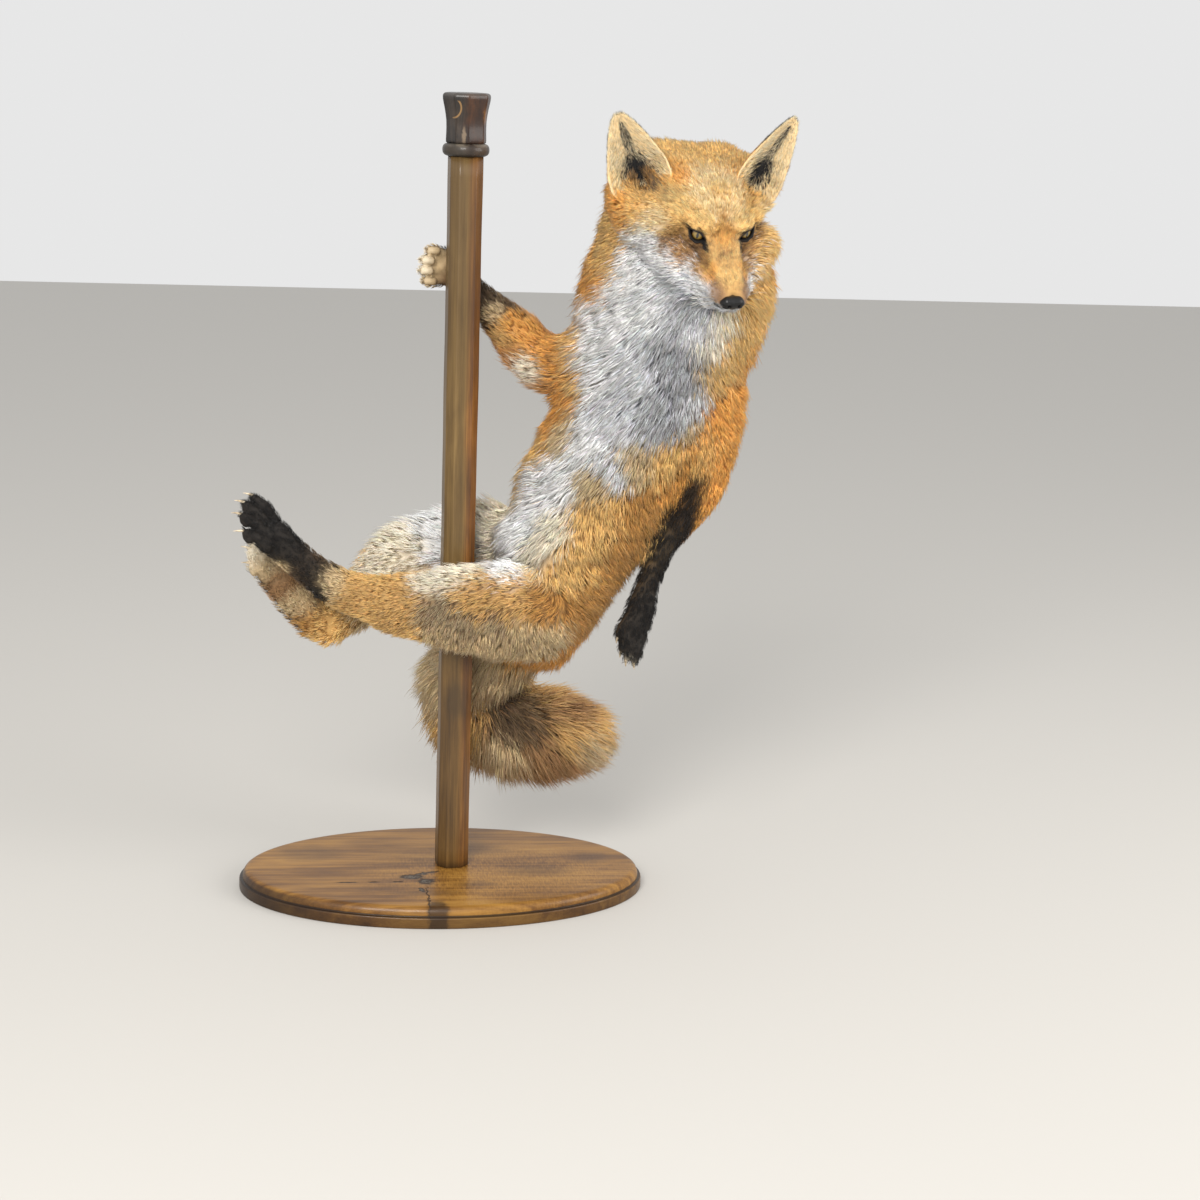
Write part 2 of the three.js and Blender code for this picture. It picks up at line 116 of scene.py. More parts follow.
def makeObject(name, mesh, material=None):
    piece = bpy.data.objects.new(name, mesh)
    bpy.context.scene.collection.objects.link(piece)
    if material:
        mesh.materials.append(material)
    return piece


def setColours(mesh, name, colours):
    layer = mesh.color_attributes.new(name, "FLOAT_COLOR", "POINT")
    filled = np.ones((len(colours), 4), np.float32)
    filled[:, :3] = colours
    layer.data.foreach_set("color", filled.ravel())


def setNumbers(mesh, name, numbers):
    layer = mesh.attributes.new(name, "FLOAT", "POINT")
    layer.data.foreach_set("value", np.ascontiguousarray(numbers, np.float32))


# camera
cameraValues = {
    "place": (-0.145, -2.410, 0.946),
    "yaw": 7.45,      # degrees, to the right of +Y
    "pitch": 14.11,   # degrees, downwards
    "roll": 2.09,
    "lens": 67.5,     # millimetres
    "sensor": 36,
    "clip": (0.05, 30),
}


def turnsOf(values):
    return [math.radians(values[name]) for name in ("yaw", "pitch", "roll")]


def makeCamera(values):
    yaw, pitch, roll = turnsOf(values)
    forward = np.array([math.sin(yaw) * math.cos(pitch), math.cos(yaw) * math.cos(pitch), -math.sin(pitch)])
    level = np.array([math.cos(yaw), -math.sin(yaw), 0])
    above = np.cross(level, forward)
    right = math.cos(roll) * level + math.sin(roll) * above
    up = -math.sin(roll) * level + math.cos(roll) * above
    lens = bpy.data.cameras.new("camera")
    lens.lens = values["lens"]
    lens.sensor_width = values["sensor"]
    lens.clip_start, lens.clip_end = values["clip"]
    camera = bpy.data.objects.new("camera", lens)
    bpy.context.scene.collection.objects.link(camera)
    turn = np.eye(4)
    turn[:3] = np.column_stack([right, up, -forward, values["place"]])
    camera.matrix_world = Matrix(turn.tolist())
    bpy.context.scene.camera = camera


makeCamera(cameraValues)


# shader helpers
def linear(colour):
    # a colour given as it shows on a screen, as the light that the renderer counts in
    return tuple(c / 12.92 if c <= 0.04045 else ((c + 0.055) / 1.055) ** 2.4 for c in colour)


class Value:
    # a shader socket that can be reckoned with
    def __init__(self, maker, socket):
        self.maker = maker
        self.socket = socket

    def reckon(self, operation, other, swapped=False):
        pair = (other, self) if swapped else (self, other)
        return self.maker.add("ShaderNodeMath", {"operation": operation}, dict(enumerate(pair)))

    def __add__(self, other):
        return self.reckon("ADD", other)

    def __radd__(self, other):
        return self.reckon("ADD", other, True)

    def __sub__(self, other):
        return self.reckon("SUBTRACT", other)

    def __rsub__(self, other):
        return self.reckon("SUBTRACT", other, True)

    def __mul__(self, other):
        return self.reckon("MULTIPLY", other)

    def __rmul__(self, other):
        return self.reckon("MULTIPLY", other, True)

    def __truediv__(self, other):
        return self.reckon("DIVIDE", other)

    def __pow__(self, other):
        return self.reckon("POWER", other)


class Finish:
    # one material and the calls that fill it
    def __init__(self, name, **fixed):
        self.material = bpy.data.materials.new(name)
        self.material.use_nodes = True
        self.nodes = self.material.node_tree.nodes
        self.links = self.material.node_tree.links
        self.shader = self.nodes["Principled BSDF"]
        for socket, value in fixed.items():
            self.shader.inputs[socket.replace("_", " ")].default_value = value

    def put(self, socket, value):
        if isinstance(value, Value):
            self.links.new(value.socket, socket)
        elif isinstance(value, (tuple, list)) and len(value) == 3 and len(socket.default_value) == 4:
            socket.default_value = (*value, 1)
        else:
            socket.default_value = value

    def add(self, kind, settings=None, inputs=None, output=0):
        node = self.nodes.new(kind)
        for name, value in (settings or {}).items():
            if name == "stops":
                ramp = node.color_ramp
                while len(ramp.elements) < len(value):
                    ramp.elements.new(0.5)
                for element, (place, colour) in zip(ramp.elements, value):
                    element.position = place
                    element.color = (*colour, 1)
            else:
                setattr(node, name, value)
        for name, value in (inputs or {}).items():
            self.put(node.inputs[name], value)
        return Value(self, node.outputs[output])

    def feed(self, **inputs):
        for name, value in inputs.items():
            self.put(self.shader.inputs[name.replace("_", " ")], value)

    def own(self):
        return self.add("ShaderNodeTexCoord", output="Object")

    def attribute(self, name, output="Color"):
        return self.add("ShaderNodeAttribute", {"attribute_name": name}, output=output)

    def stretched(self, scale, turn=(0, 0, 0), place=(0, 0, 0), source=None):
        inputs = {"Vector": source or self.own(), "Scale": scale, "Rotation": turn, "Location": place}
        return self.add("ShaderNodeMapping", inputs=inputs)

    def noise(self, vector, scale, detail=4, roughness=0.5, distortion=0):
        values = {"Vector": vector, "Scale": scale, "Detail": detail, "Roughness": roughness}
        return self.add("ShaderNodeTexNoise", inputs={**values, "Distortion": distortion}, output="Fac")

    def blend(self, share, first, second, kind="MIX"):
        settings = {"data_type": "RGBA", "blend_type": kind, "clamp_factor": True}
        node = self.add("ShaderNodeMix", settings).socket.node
        colours = [socket for socket in node.inputs if socket.type == "RGBA"]
        factor = next(socket for socket in node.inputs if socket.type == "VALUE")
        self.put(factor, share)
        self.put(colours[0], first)
        self.put(colours[1], second)
        return Value(self, next(socket for socket in node.outputs if socket.type == "RGBA"))

    def stain(self, colour, share, tone):
        # one flat tone over a colour, as strong as share says
        return self.blend(share, colour, linear(tone))

    def ramp(self, value, *stops):
        stops = [(at, linear(tone)) for at, tone in stops]
        return self.add("ShaderNodeValToRGB", {"stops": stops}, {"Fac": value})

    def span(self, value, low, high, newLow=0.0, newHigh=1.0):
        # an eased step from newLow to newHigh as the value goes from low to high
        inputs = {"Value": value, "From Min": low, "From Max": high, "To Min": newLow, "To Max": newHigh}
        return self.add("ShaderNodeMapRange", {"interpolation_type": "SMOOTHSTEP"}, inputs)

    def part(self, vector, axis):
        return self.add("ShaderNodeSeparateXYZ", inputs={"Vector": vector}, output=axis)

    def distance(self, value, other):
        return (value - other).reckon("ABSOLUTE", 0)

    def spot(self, middle, size, turn=(0, 0, 0), source=None):
        # 0 in the middle of an oval patch, 1 at its edge
        inputs = {"Vector": source or self.own(), "Location": middle, "Scale": size, "Rotation": turn}
        off = self.add("ShaderNodeMapping", {"vector_type": "TEXTURE"}, inputs)
        return self.add("ShaderNodeVectorMath", {"operation": "LENGTH"}, {"Vector": off}, "Value")

    def warped(self, vector, scale, amount):
        inputs = {"Vector": vector, "Scale": scale, "Detail": 3}
        wave = self.add("ShaderNodeTexNoise", inputs=inputs, output="Color")
        inputs = {0: wave, 1: (amount,) * 3, 2: vector}
        shift = self.add("ShaderNodeVectorMath", {"operation": "MULTIPLY_ADD"}, inputs)
        inputs = {0: shift, 1: (amount / 2,) * 3}
        return self.add("ShaderNodeVectorMath", {"operation": "SUBTRACT"}, inputs)

    def bump(self, height, strength, distance):
        inputs = {"Height": height, "Strength": strength, "Distance": distance}
        return self.add("ShaderNodeBump", inputs=inputs)


note("camera and helpers ready")


# fields of distance
class Field:
    # distances on an even grid, read between its points
    def __init__(self, low, step, values):
        self.low, self.step, self.values = np.asarray(low, float), step, values

    def read(self, places):
        at = (np.asarray(places) - self.low) / self.step
        top = np.array(self.values.shape) - 1.001
        at = np.clip(at, 0, top)
        cell = at.astype(np.int32)
        share = (at - cell).astype(np.float32)
        x, y, z = cell.T
        fx, fy, fz = share.T
        v = self.values
        near = mix(mix(v[x, y, z], v[x, y, z + 1], fz), mix(v[x, y + 1, z], v[x, y + 1, z + 1], fz), fy)
        x = x + 1
        far = mix(mix(v[x, y, z], v[x, y, z + 1], fz), mix(v[x, y + 1, z], v[x, y + 1, z + 1], fz), fy)
        return mix(near, far, fx)

    def slope(self, places):
        steps = np.eye(3) * self.step
        return unit(np.stack([self.read(places + s) - self.read(places - s) for s in steps], -1))


def distanceField(places, corners, step, reach, low, high, quads=None):
    shapes = {"triangles": np.ascontiguousarray(corners, np.uint32)}
    if quads is not None and len(quads):
        shapes["quads"] = np.ascontiguousarray(quads, np.uint32)
    grid = openvdb.FloatGrid.createLevelSetFromPolygons(
        np.ascontiguousarray(places, np.float32), halfWidth=reach / step,
        transform=openvdb.createLinearTransform(voxelSize=step), **shapes)
    first = np.floor(np.asarray(low) / step).astype(int)
    size = np.ceil((np.asarray(high) - np.asarray(low)) / step).astype(int) + 2
    values = np.empty(tuple(size), np.float32)
    grid.copyToArray(values, ijk=tuple(int(i) for i in first))
    return Field(first * step, step, values), grid


def blurred(values, cells):
    # a Gaussian blur along each axis in turn
    span = int(math.ceil(cells * 2.5))
    weights = np.exp(-0.5 * (np.arange(-span, span + 1) / cells) ** 2)
    weights = (weights / weights.sum()).astype(np.float32)
    for axis in range(3):
        padded = np.pad(values, [(span, span) if a == axis else (0, 0) for a in range(3)], mode="edge")
        total = np.zeros_like(values)
        count = values.shape[axis]
        for shift, weight in enumerate(weights):
            part = [slice(None)] * 3
            part[axis] = slice(shift, shift + count)
            total += weight * padded[tuple(part)]
        values = total
    return values


def softMin(first, second, reach):
    # the union of two shapes with a fillet of about that reach between them
    share = np.clip(0.5 + 0.5 * (second - first) / reach, 0, 1)
    return mix(second, first, share) - reach * share * (1 - share)


def softMax(first, second, reach):
    return -softMin(-first, -second, reach)


# the animal's frame of reference
headValues = {
    "middle": (0.2745, -0.059, 0.7525),   # midway between the eyes
    "yaw": 13,
    "pitch": 37,
    "roll": 3,
}


def headAxes(values):
    yaw, pitch, roll = turnsOf(values)
    forward = np.array([math.sin(yaw) * math.cos(pitch), -math.cos(yaw) * math.cos(pitch), -math.sin(pitch)])
    level = np.array([math.cos(yaw), math.sin(yaw), 0])
    left = level * math.cos(roll) - np.cross(level, forward) * math.sin(roll)
    return np.stack([left, forward, -np.cross(left, forward)])


headTurn = headAxes(headValues)   # rows: the animal's left, forward and up
headMiddle = np.array(headValues["middle"])


def inHead(left, forward, up):
    # a place in the head, in millimetres from the point between the eyes
    return headMiddle + np.array([left, forward, up]) @ headTurn * mm


def headWay(left, forward, up):
    return unit(np.array([left, forward, up]) @ headTurn)


# Each limb's solids, and its middle line from its root, in millimetres.
limbs = {
    "forelegRight": {
        "nodes": ("foreleg_right_upper", "foreleg_right_lower", "foreleg_right_paw"),
        "line": ((176, 14, 606), (138, 34, 590), (103, 50, 594), (73, 51, 624), (43, 49, 653),
                 (21, 47, 673), (6, 46, 686), (-8, 40, 696), (-30, 24, 699)),
    },
    "forelegLeft": {
        "nodes": ("foreleg_left_upper", "foreleg_left_lower", "foreleg_left_paw"),
        "line": ((272, 8, 606), (289, 6, 545), (280, 7, 470), (260, 2, 432), (238, -7, 400),
                 (219, -18, 356), (213, -24, 334), (207, -29, 312), (196, -33, 284)),
    },
    "hindlegLeft": {
        "nodes": ("hindleg_left_thigh", "hindleg_left_shank", "hindleg_left_foot"),
        "line": ((114, -16, 326), (62, -38, 333), (4, -46, 338), (-49, -42, 339), (-84, -34, 344),
                 (-114, -28, 352), (-145, -29, 371), (-172, -31, 394), (-193, -34, 416), (-219, -36, 440)),
    },
    "hindlegRight": {
        "nodes": ("hindleg_right_thigh", "hindleg_right_shank", "hindleg_right_foot"),
        "line": ((104, 44, 345), (40, 66, 364), (-36, 62, 366), (-84, 48, 334), (-128, 30, 300),
                 (-157, 20, 321), (-178, 13, 344), (-195, 9, 368), (-212, 4, 392)),
    },
    "tail": {
        "nodes": ("tail_root", "tail_brush", "tail_tip"),
        "line": ((102, 40, 288), (58, 66, 255), (28, 84, 217), (38, 88, 182), (80, 82, 160),
                 (128, 70, 156), (180, 58, 158)),
    },
}

bodyNodes = {
    "head": ("head", "muzzle", "jaw", "ear_right", "ear_left"),
    "neck": ("neck",),
    "trunk": ("chest", "loin", "pelvis"),
}
fleshNodes = {**bodyNodes, **{name: limb["nodes"] for name, limb in limbs.items()}}

# How far the skin lies under the coat's outline, in millimetres.
coatDepth = {
    "head": 5, "muzzle": 1.6, "jaw": 2.0, "ear_right": 6, "ear_left": 6,
    "neck": 12, "chest": 11, "loin": 11, "pelvis": 9,
    "foreleg_right_upper": 8, "foreleg_right_lower": 5, "foreleg_right_paw": 2.6,
    "foreleg_left_upper": 8, "foreleg_left_lower": 4.5, "foreleg_left_paw": 2.6,
    "hindleg_left_thigh": 9, "hindleg_left_shank": 5.5, "hindleg_left_foot": 2.8,
    "hindleg_right_thigh": 11, "hindleg_right_shank": 6, "hindleg_right_foot": 2.8,
    "tail_root": 13, "tail_brush": 19, "tail_tip": 18,
}


# the skin's own grid, finer over the face and the feet: where each step begins, then the step
skinValues = {
    "xSteps": ((-0.246, 1.7), (-0.172, 2.6), (-0.036, 1.7), (0.034, 2.6), (0.156, 1.7), (0.172, 1.2),
               (0.372, 1.7), (0.380, 0)),
    "ySteps": ((-0.128, 1.2), (0.012, 2.4), (0.128, 0)),
    "zSteps": ((0.112, 2.6), (0.276, 1.7), (0.346, 2.6), (0.384, 1.7), (0.448, 2.6), (0.662, 1.2),
               (0.886, 0)),
    "margin": 8,             # millimetres that the fields reach past the grid
    "step": 2.0,             # between the body field's points
    "zoneStep": 6,           # between those of the zones and of the coat's depth
    "seal": 0.5,             # closes the cuts between the solids
    "softening": 6.0,        # how far the deep-coated parts are smoothed
    "fineSoftening": 2.6,    # the same for short-coated ones
    "nape": ((248, 36, 796), (250, 48, 742)),
    "napeRadii": (28, 30),
    "triangles": 185000,
}


def gridAxis(steps):
    places = []
    for (low, step), (high, _) in zip(steps, steps[1:]):
        places.append(np.arange(low, high - 1e-9, step * mm))
    return np.concatenate([*places, [steps[-1][0]]])


skinAxes = [gridAxis(skinValues[name]) for name in ("xSteps", "ySteps", "zSteps")]
skinLow = np.array([axis[0] for axis in skinAxes])
skinHigh = np.array([axis[-1] for axis in skinAxes])


def onSkinGrid(field):
    # the field's values at the skin grid's points, one axis at a time
    values = field.values
    for axis in range(3):
        at = np.clip((skinAxes[axis] - field.low[axis]) / field.step, 0, values.shape[axis] - 1.001)
        cell = at.astype(int)
        shape = [-1 if a == axis else 1 for a in range(3)]
        share = (at - cell).astype(np.float32).reshape(shape)
        values = mix(np.take(values, cell, axis), np.take(values, cell + 1, axis), share)
    return values


class Sculpt:
    # adds and carves shapes on the skin's grid, each within its own reach
    def __init__(self, axes, values):
        self.axes, self.values = axes, values

    def region(self, middle, reach):
        parts = []
        for axis, at in zip(self.axes, middle):
            parts.append(slice(*np.searchsorted(axis, (at - reach, at + reach))))
        places = np.stack(np.meshgrid(*[a[p] for a, p in zip(self.axes, parts)], indexing="ij"), -1)
        return tuple(parts), places.astype(np.float32)

    def add(self, middle, reach, shape, soft):
        parts, places = self.region(middle, reach)
        self.values[parts] = softMin(self.values[parts], shape(places), soft * mm)

    def trim(self, middle, amount, reach):
        parts, places = self.region(middle, 2.6 * reach)
        self.values[parts] += amount * np.exp(-((places - middle) ** 2).sum(-1) / reach ** 2)

    def carve(self, middle, reach, shape, soft):
        parts, places = self.region(middle, reach)
        self.values[parts] = softMax(self.values[parts], -shape(places), soft * mm)


def capsule(start, end, startRadius, endRadius=None, flatten=None):
    # a round-ended rod; flatten = (way, share) squeezes it along a way
    start, end = np.asarray(start, np.float32), np.asarray(end, np.float32)
    along = end - start
    endRadius = startRadius if endRadius is None else endRadius

    def shape(places):
        off = places - start
        share = np.clip(off @ along / max(along @ along, 1e-12), 0, 1)
        off = off - share[..., None] * along
        if flatten is not None:
            way, squeeze = flatten
            off = off + (off @ way)[..., None] * way * (1 / squeeze - 1)
        return np.linalg.norm(off, axis=-1) - mix(startRadius, endRadius, share) * mm
    return shape


def addCapsule(sculpt, start, end, startRadius, endRadius, soft, carve=False, flatten=None):
    start, end = np.asarray(start), np.asarray(end)
    reach = np.linalg.norm(end - start) / 2 + (max(startRadius, endRadius) + soft + 3) * mm
    act = sculpt.carve if carve else sculpt.add
    act((start + end) / 2, reach, capsule(start, end, startRadius, endRadius, flatten), soft)


def addChain(sculpt, stations, soft, carve=False):
    for (start, startRadius), (end, endRadius) in zip(stations, stations[1:]):
        addCapsule(sculpt, start, end, startRadius, endRadius, soft, carve)


# ears
earValues = {
    "right": {"root": (198, -46, 783), "tip": (168, -16, 865), "opening": (-0.20, -0.96, 0.18),
              "width": 34},
    "left": {"root": (305, -38, 783), "tip": (358, -16, 866), "opening": (0.42, -0.89, 0.18),
             "width": 27},
    "outline": ((-0.12, 0.62), (0.04, 0.86), (0.16, 0.97), (0.32, 0.95), (0.54, 0.76), (0.76, 0.53),
                (0.90, 0.33), (0.97, 0.20), (1.0, 0.08)),
    "cup": 0.62,             # depth of the hollow as a share of the half width
    "lip": 0.16,             # how far the rims stand forward
    "thickness": 2.7,
    "hollow": (0.10, 0.46),  # where along the ear its deep hollow starts and ends
    "hollowOut": 10.2,       # how far in front of the sheet its middle lies
    "hollowRadii": (8.6, 6.5),
    "rows": 40,
    "columns": 33,
}


class Ear:
    # a cupped leaf, from its root to its tip and from rim to rim
    def __init__(self, side):
        self.values = earValues[side]
        self.root, self.tip = (np.array(self.values[name]) * mm for name in ("root", "tip"))
        self.rise = self.tip - self.root
        opening = np.array(self.values["opening"])
        self.across = unit(np.cross(self.rise, opening))
        self.front = unit(np.cross(self.across, self.rise))

    def sheet(self, along, across):
        # along runs from 0 at the root to 1 at the tip, and across from -1 to 1
        stops, shares = zip(*earValues["outline"])
        along = np.asarray(along, float)
        half = np.interp(along, stops, shares) * self.values["width"] * mm
        deep = half * earValues["cup"] * (1 - 0.25 * np.clip(along, 0, 1))
        back = deep * (1 - np.abs(across) ** 2.2) - half * earValues["lip"]
        lean = -0.10 * half * (np.abs(across) ** 3)
        middle = self.root + np.multiply.outer(along, self.rise) + (half * across)[..., None] * self.across
        return middle - (back + lean)[..., None] * self.front

    def grids(self):
        along = np.linspace(-0.12, 1.0, earValues["rows"])
        across = np.linspace(-1, 1, earValues["columns"])
        return np.meshgrid(along, across, indexing="ij")

    def field(self, low, high):
        along, across = self.grids()
        sheet = self.sheet(along, across)
        lengthways, sideways = np.gradient(sheet, axis=0), np.gradient(sheet, axis=1)
        out = unit(np.cross(sideways, lengthways))
        half = earValues["thickness"] / 2 * mm
        rows, columns = along.shape
        places = np.concatenate([(sheet + out * way).reshape(-1, 3) for way in (half, -half)])
        at = np.arange(rows * columns).reshape(rows, columns)
        front = np.stack([at[:-1, :-1], at[:-1, 1:], at[1:, 1:], at[1:, :-1]], -1).reshape(-1, 4)
        back = front[:, ::-1] + rows * columns
        rim = np.concatenate([at[0, :], at[1:, -1], at[-1, -2::-1], at[-2:0:-1, 0]])
        after = np.roll(rim, -1)
        side = np.stack([after, rim, rim + rows * columns, after + rows * columns], -1)
        quads = np.concatenate([front, back, side])
        return distanceField(places, np.zeros((0, 3)), 1.0 * mm, 14 * mm, low, high, quads)[0]


ears = {side: Ear(side) for side in ("right", "left")}

# eyes
eyeValues = {
    "radius": 9.5,
    "right": {"gaze": (-0.40, 0.89, 0.20), "toNose": (0.82, 0.38, -0.42)},
    "left": {"gaze": (0.24, 0.95, 0.16), "toNose": (-0.80, 0.36, -0.45)},
    "halfLength": 10.4,      # of the opening between the lids
    "upper": 4.3,            # the opening's height above and below its long axis
    "lower": 5.5,
    "lid": 1.7,              # how far the lids stand off the ball
    # the black lines at the two ends: toward the nose and upwards
    "tear": ((8, -1.5), (13, -3.4), (16.5, -5.4)),
    "corner": ((-9, 1), (-13, 2.6), (-17, 3.4)),
    # the lids' fat folds: toward the nose, out along the gaze, radius
    "folds": ((-10.5, 5.6, 1.2), (-4, 9.8, 1.7), (3, 10.4, 1.7), (9, 7.2, 1.2)),
    "foldHeights": (4.6, -5.2),
    "crease": ((-9, 6), (-3, 9), (3, 9.2), (8, 8)),
    # the tear duct: toward the nose, upwards, out, radius
    "duct": ((8.0, -2.2, 9.2, 1.5), (11.0, -4.6, 8.6, 1.3), (14.5, -7.2, 8.4, 0.7)),
}


class Eye:
    def __init__(self, side):
        low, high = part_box(f"eye_{side}")
        self.side = side
        self.middle = (np.array(low) + np.array(high)) / 2
        self.gaze = headWay(*eyeValues[side]["gaze"])
        toNose = headWay(*eyeValues[side]["toNose"])
        self.inner = unit(toNose - self.gaze * (toNose @ self.gaze))
        self.upper = unit(np.cross(self.inner, self.gaze) * (1 if side == "right" else -1))
        if self.upper @ headTurn[2] < 0:
            self.upper = -self.upper

    def place(self, inner, upper, out):
        return self.middle + (inner * self.inner + upper * self.upper + out * self.gaze) * mm

    def flatDistance(self, places, line):
        # millimetres from a line drawn across the gaze, on the near side of the head only
        off = (places - self.middle) / mm
        flat = np.stack([off @ self.inner, off @ self.upper, np.zeros(len(off))], -1)
        behind = np.maximum(0, -3 - off @ self.gaze)
        return chainDistance(flat, [np.array((*at, 0.0)) for at in line]) + behind

    def opening(self, grow=0.0):
        # an almond prism along the gaze, from the ball's middle outwards
        half = eyeValues["halfLength"] + grow

        def shape(places):
            off = (places - self.middle) / mm
            inner, upper, out = off @ self.inner, off @ self.upper, off @ self.gaze
            bow = 1 - np.clip(np.abs(inner) / half, 0, 1.4) ** 1.7
            top = upper - (eyeValues["upper"] + grow) * bow + 0.6
            bottom = -upper - (eyeValues["lower"] + grow) * bow - 0.6
            return np.maximum(np.maximum(top, bottom), 1 - out) * mm
        return shape


eyes = {side: Eye(side) for side in ("right", "left")}

# the face, in millimetres left, forward and up of the point between the eyes, with a radius at each place
faceValues = {
    "noseSeat": (0, 79, -28),
    "whiskerPads": (((9, 72, -33), 6.5), ((13, 58, -34), 8.5), ((16, 44, -35), 9.5), ((20, 30, -34), 11)),
    "jaws": (((6, 70, -46), 4.5), ((11, 54, -47), 7.0), ((20, 34, -46), 10), ((34, 12, -40), 14),
             ((50, -10, -32), 18)),
    "bridge": (((10, 62, -22), 3.0), ((11, 40, -17), 4.0), ((13, 22, -8), 5.0)),
    "brows": (((13, 11, 10), 1.4), ((21, 8, 13), 2.6), ((36, -1, 13), 3.0), ((46, -12, 8), 2.2)),
    "furrow": (((0, -14, 45.5), 2.4), ((0, 4, 29), 2.2), ((0, 18, 12), 1.6)),
    "philtrum": (((0, 86, -34), 1.0), ((0, 86, -41), 1.2)),
    "lip": ((0, 84, -41), (7, 80, -42), (12, 68, -43), (16, 56, -44), (20, 44, -46), (27, 30, -49),
            (36, 14, -50), (46, 1, -48), (54, -6, -44)),
    "lipGroove": 1.5,
}


def headChain(sculpt, stations, soft, carve=False, signs=(-1, 1)):
    for sign in signs:
        chain = [(inHead(sign * left, forward, up), radius) for (left, forward, up), radius in stations]
        addChain(sculpt, chain, soft, carve)


def sculptEye(sculpt, eye):
    # the ball's mound, the folds and crease of its lids, the opening and the tear duct
    values = eyeValues
    mound = capsule(eye.middle, eye.middle, values["radius"] + values["lid"])
    sculpt.add(eye.middle, 20 * mm, mound, 5.0)
    for height in values["foldHeights"]:
        addChain(sculpt, [(eye.place(inner, height * (1 - (inner / 12) ** 2) - 1.4, out), size)
                          for inner, out, size in values["folds"]], 2.2)
    addChain(sculpt, [(eye.place(inner, 7.8 - abs(inner + 1) * 0.25, out), 1.0)
                      for inner, out in values["crease"]], 2.4, carve=True)
    sculpt.carve(eye.middle, 15 * mm, eye.opening(), 1.0)
    addChain(sculpt, [(eye.place(*at), size) for *at, size in values["duct"]], 1.6, carve=True)


def sculptFace(sculpt):
    face = faceValues
    headChain(sculpt, face["whiskerPads"], 6)
    headChain(sculpt, face["jaws"], 9)
    headChain(sculpt, face["bridge"], 6)
    for eye in eyes.values():
        socket = capsule(eye.place(0, 0, -5), eye.place(0, 2, -9), 15.0, 17.0)
        sculpt.add(eye.middle, 34 * mm, socket, 9)
    headChain(sculpt, face["brows"], 9)
    for eye in eyes.values():
        sculptEye(sculpt, eye)
    headChain(sculpt, face["furrow"], 7, True, signs=(1,))
    headChain(sculpt, [(place, face["lipGroove"]) for place in face["lip"]], 1.6, True)
    headChain(sculpt, face["philtrum"], 1.2, True, signs=(1,))


# feet: each toe is a rod from the ball of the foot to its claw
feetValues = {
    "forelegRight": {"ball": (-8, 40, 696), "tips": (-30, 24, 699), "across": (0.1, 0, 1), "pace": 11,
                     "sole": (0.4, -0.9, 0)},
    "forelegLeft": {"ball": (207, -29, 312), "tips": (196, -33, 284), "across": (0.5, -0.1, -0.8),
                    "pace": 11, "sole": (0.6, 0.7, 0.2)},
    "hindlegLeft": {"ball": (-193, -34, 416), "tips": (-219, -36, 440), "across": (-0.2, -0.45, -0.87),
                    "pace": 13, "sole": (-0.6, -0.2, -0.7)},
    "hindlegRight": {"ball": (-195, 9, 368), "tips": (-212, 4, 392), "across": (-0.2, -0.45, -0.87),
                     "pace": 11, "sole": (-0.6, -0.2, -0.7)},
    "toe": 6.0,
    "pad": 4.6,
}


class Foot:
    def __init__(self, name):
        values = feetValues[name]
        self.ball, self.tips = (np.array(values[part]) * mm for part in ("ball", "tips"))
        self.run = unit(self.tips - self.ball)
        self.sole, self.across = unit(values["sole"]), unit(values["across"])
        self.pace = values["pace"]
        self.toes = [self.toe(i - 1.5) for i in range(4)]

    def toe(self, offset):
        side = self.across * offset * self.pace * mm
        reach = np.linalg.norm(self.tips - self.ball) * (0.78 if abs(offset) > 1 else 1.0)
        root = self.ball + side * 0.75
        tip = self.ball + self.run * reach + side
        return root, mix(root, tip, 0.55) - self.sole * 2.5 * mm, tip


feet = {name: Foot(name) for name in ("forelegRight", "forelegLeft", "hindlegLeft", "hindlegRight")}


def sculptFoot(sculpt, foot):
    size, pad = feetValues["toe"], feetValues["pad"]
    for root, middle, tip in foot.toes:
        addChain(sculpt, [(root, size + 0.6), (middle, size + 0.2), (tip, size - 1.0)], 1.6)
    for root, middle, tip in foot.toes:
        under = tip - foot.run * 4 * mm + foot.sole * 3.4 * mm
        addCapsule(sculpt, under - foot.run * 2 * mm, under + foot.run * 2 * mm, pad, pad - 0.8, 0.8)
    heel = foot.ball + foot.sole * 5 * mm
    for side in (-1, 1):
        addCapsule(sculpt, heel + foot.across * side * 5 * mm, heel + foot.run * 6 * mm, 5.0, 4.4, 2.0)


# where the skull lies deeper under the coat: left, forward and up in the head, how much and how far
headTrims = (
    ((0, -50, 52), 12, 42), ((0, -92, 36), 15, 46), ((-60, -30, 40), 12, 22), ((-76, -52, 28), 19, 25),
    ((50, -34, 34), 14, 20), ((-90, -28, 10), 10, 34), ((80, -14, 10), 10, 30), ((84, -20, -24), 21, 34),
)


def fleshField(low, high):
    # the distance from the flesh as one body, with the cuts between its solids closed
    body = [name for names in fleshNodes.values() for name in names if not name.startswith("ear")]
    step = skinValues["step"] * mm
    places, corners = cornersOfNodes(body)
    grid = distanceField(places, corners, step, 4 * mm, low, high)[1]
    places, corners, quads = grid.convertToPolygons(isovalue=skinValues["seal"] * mm, adaptivity=0)
    return distanceField(places, corners, step, 34 * mm, low, high, quads)[0]


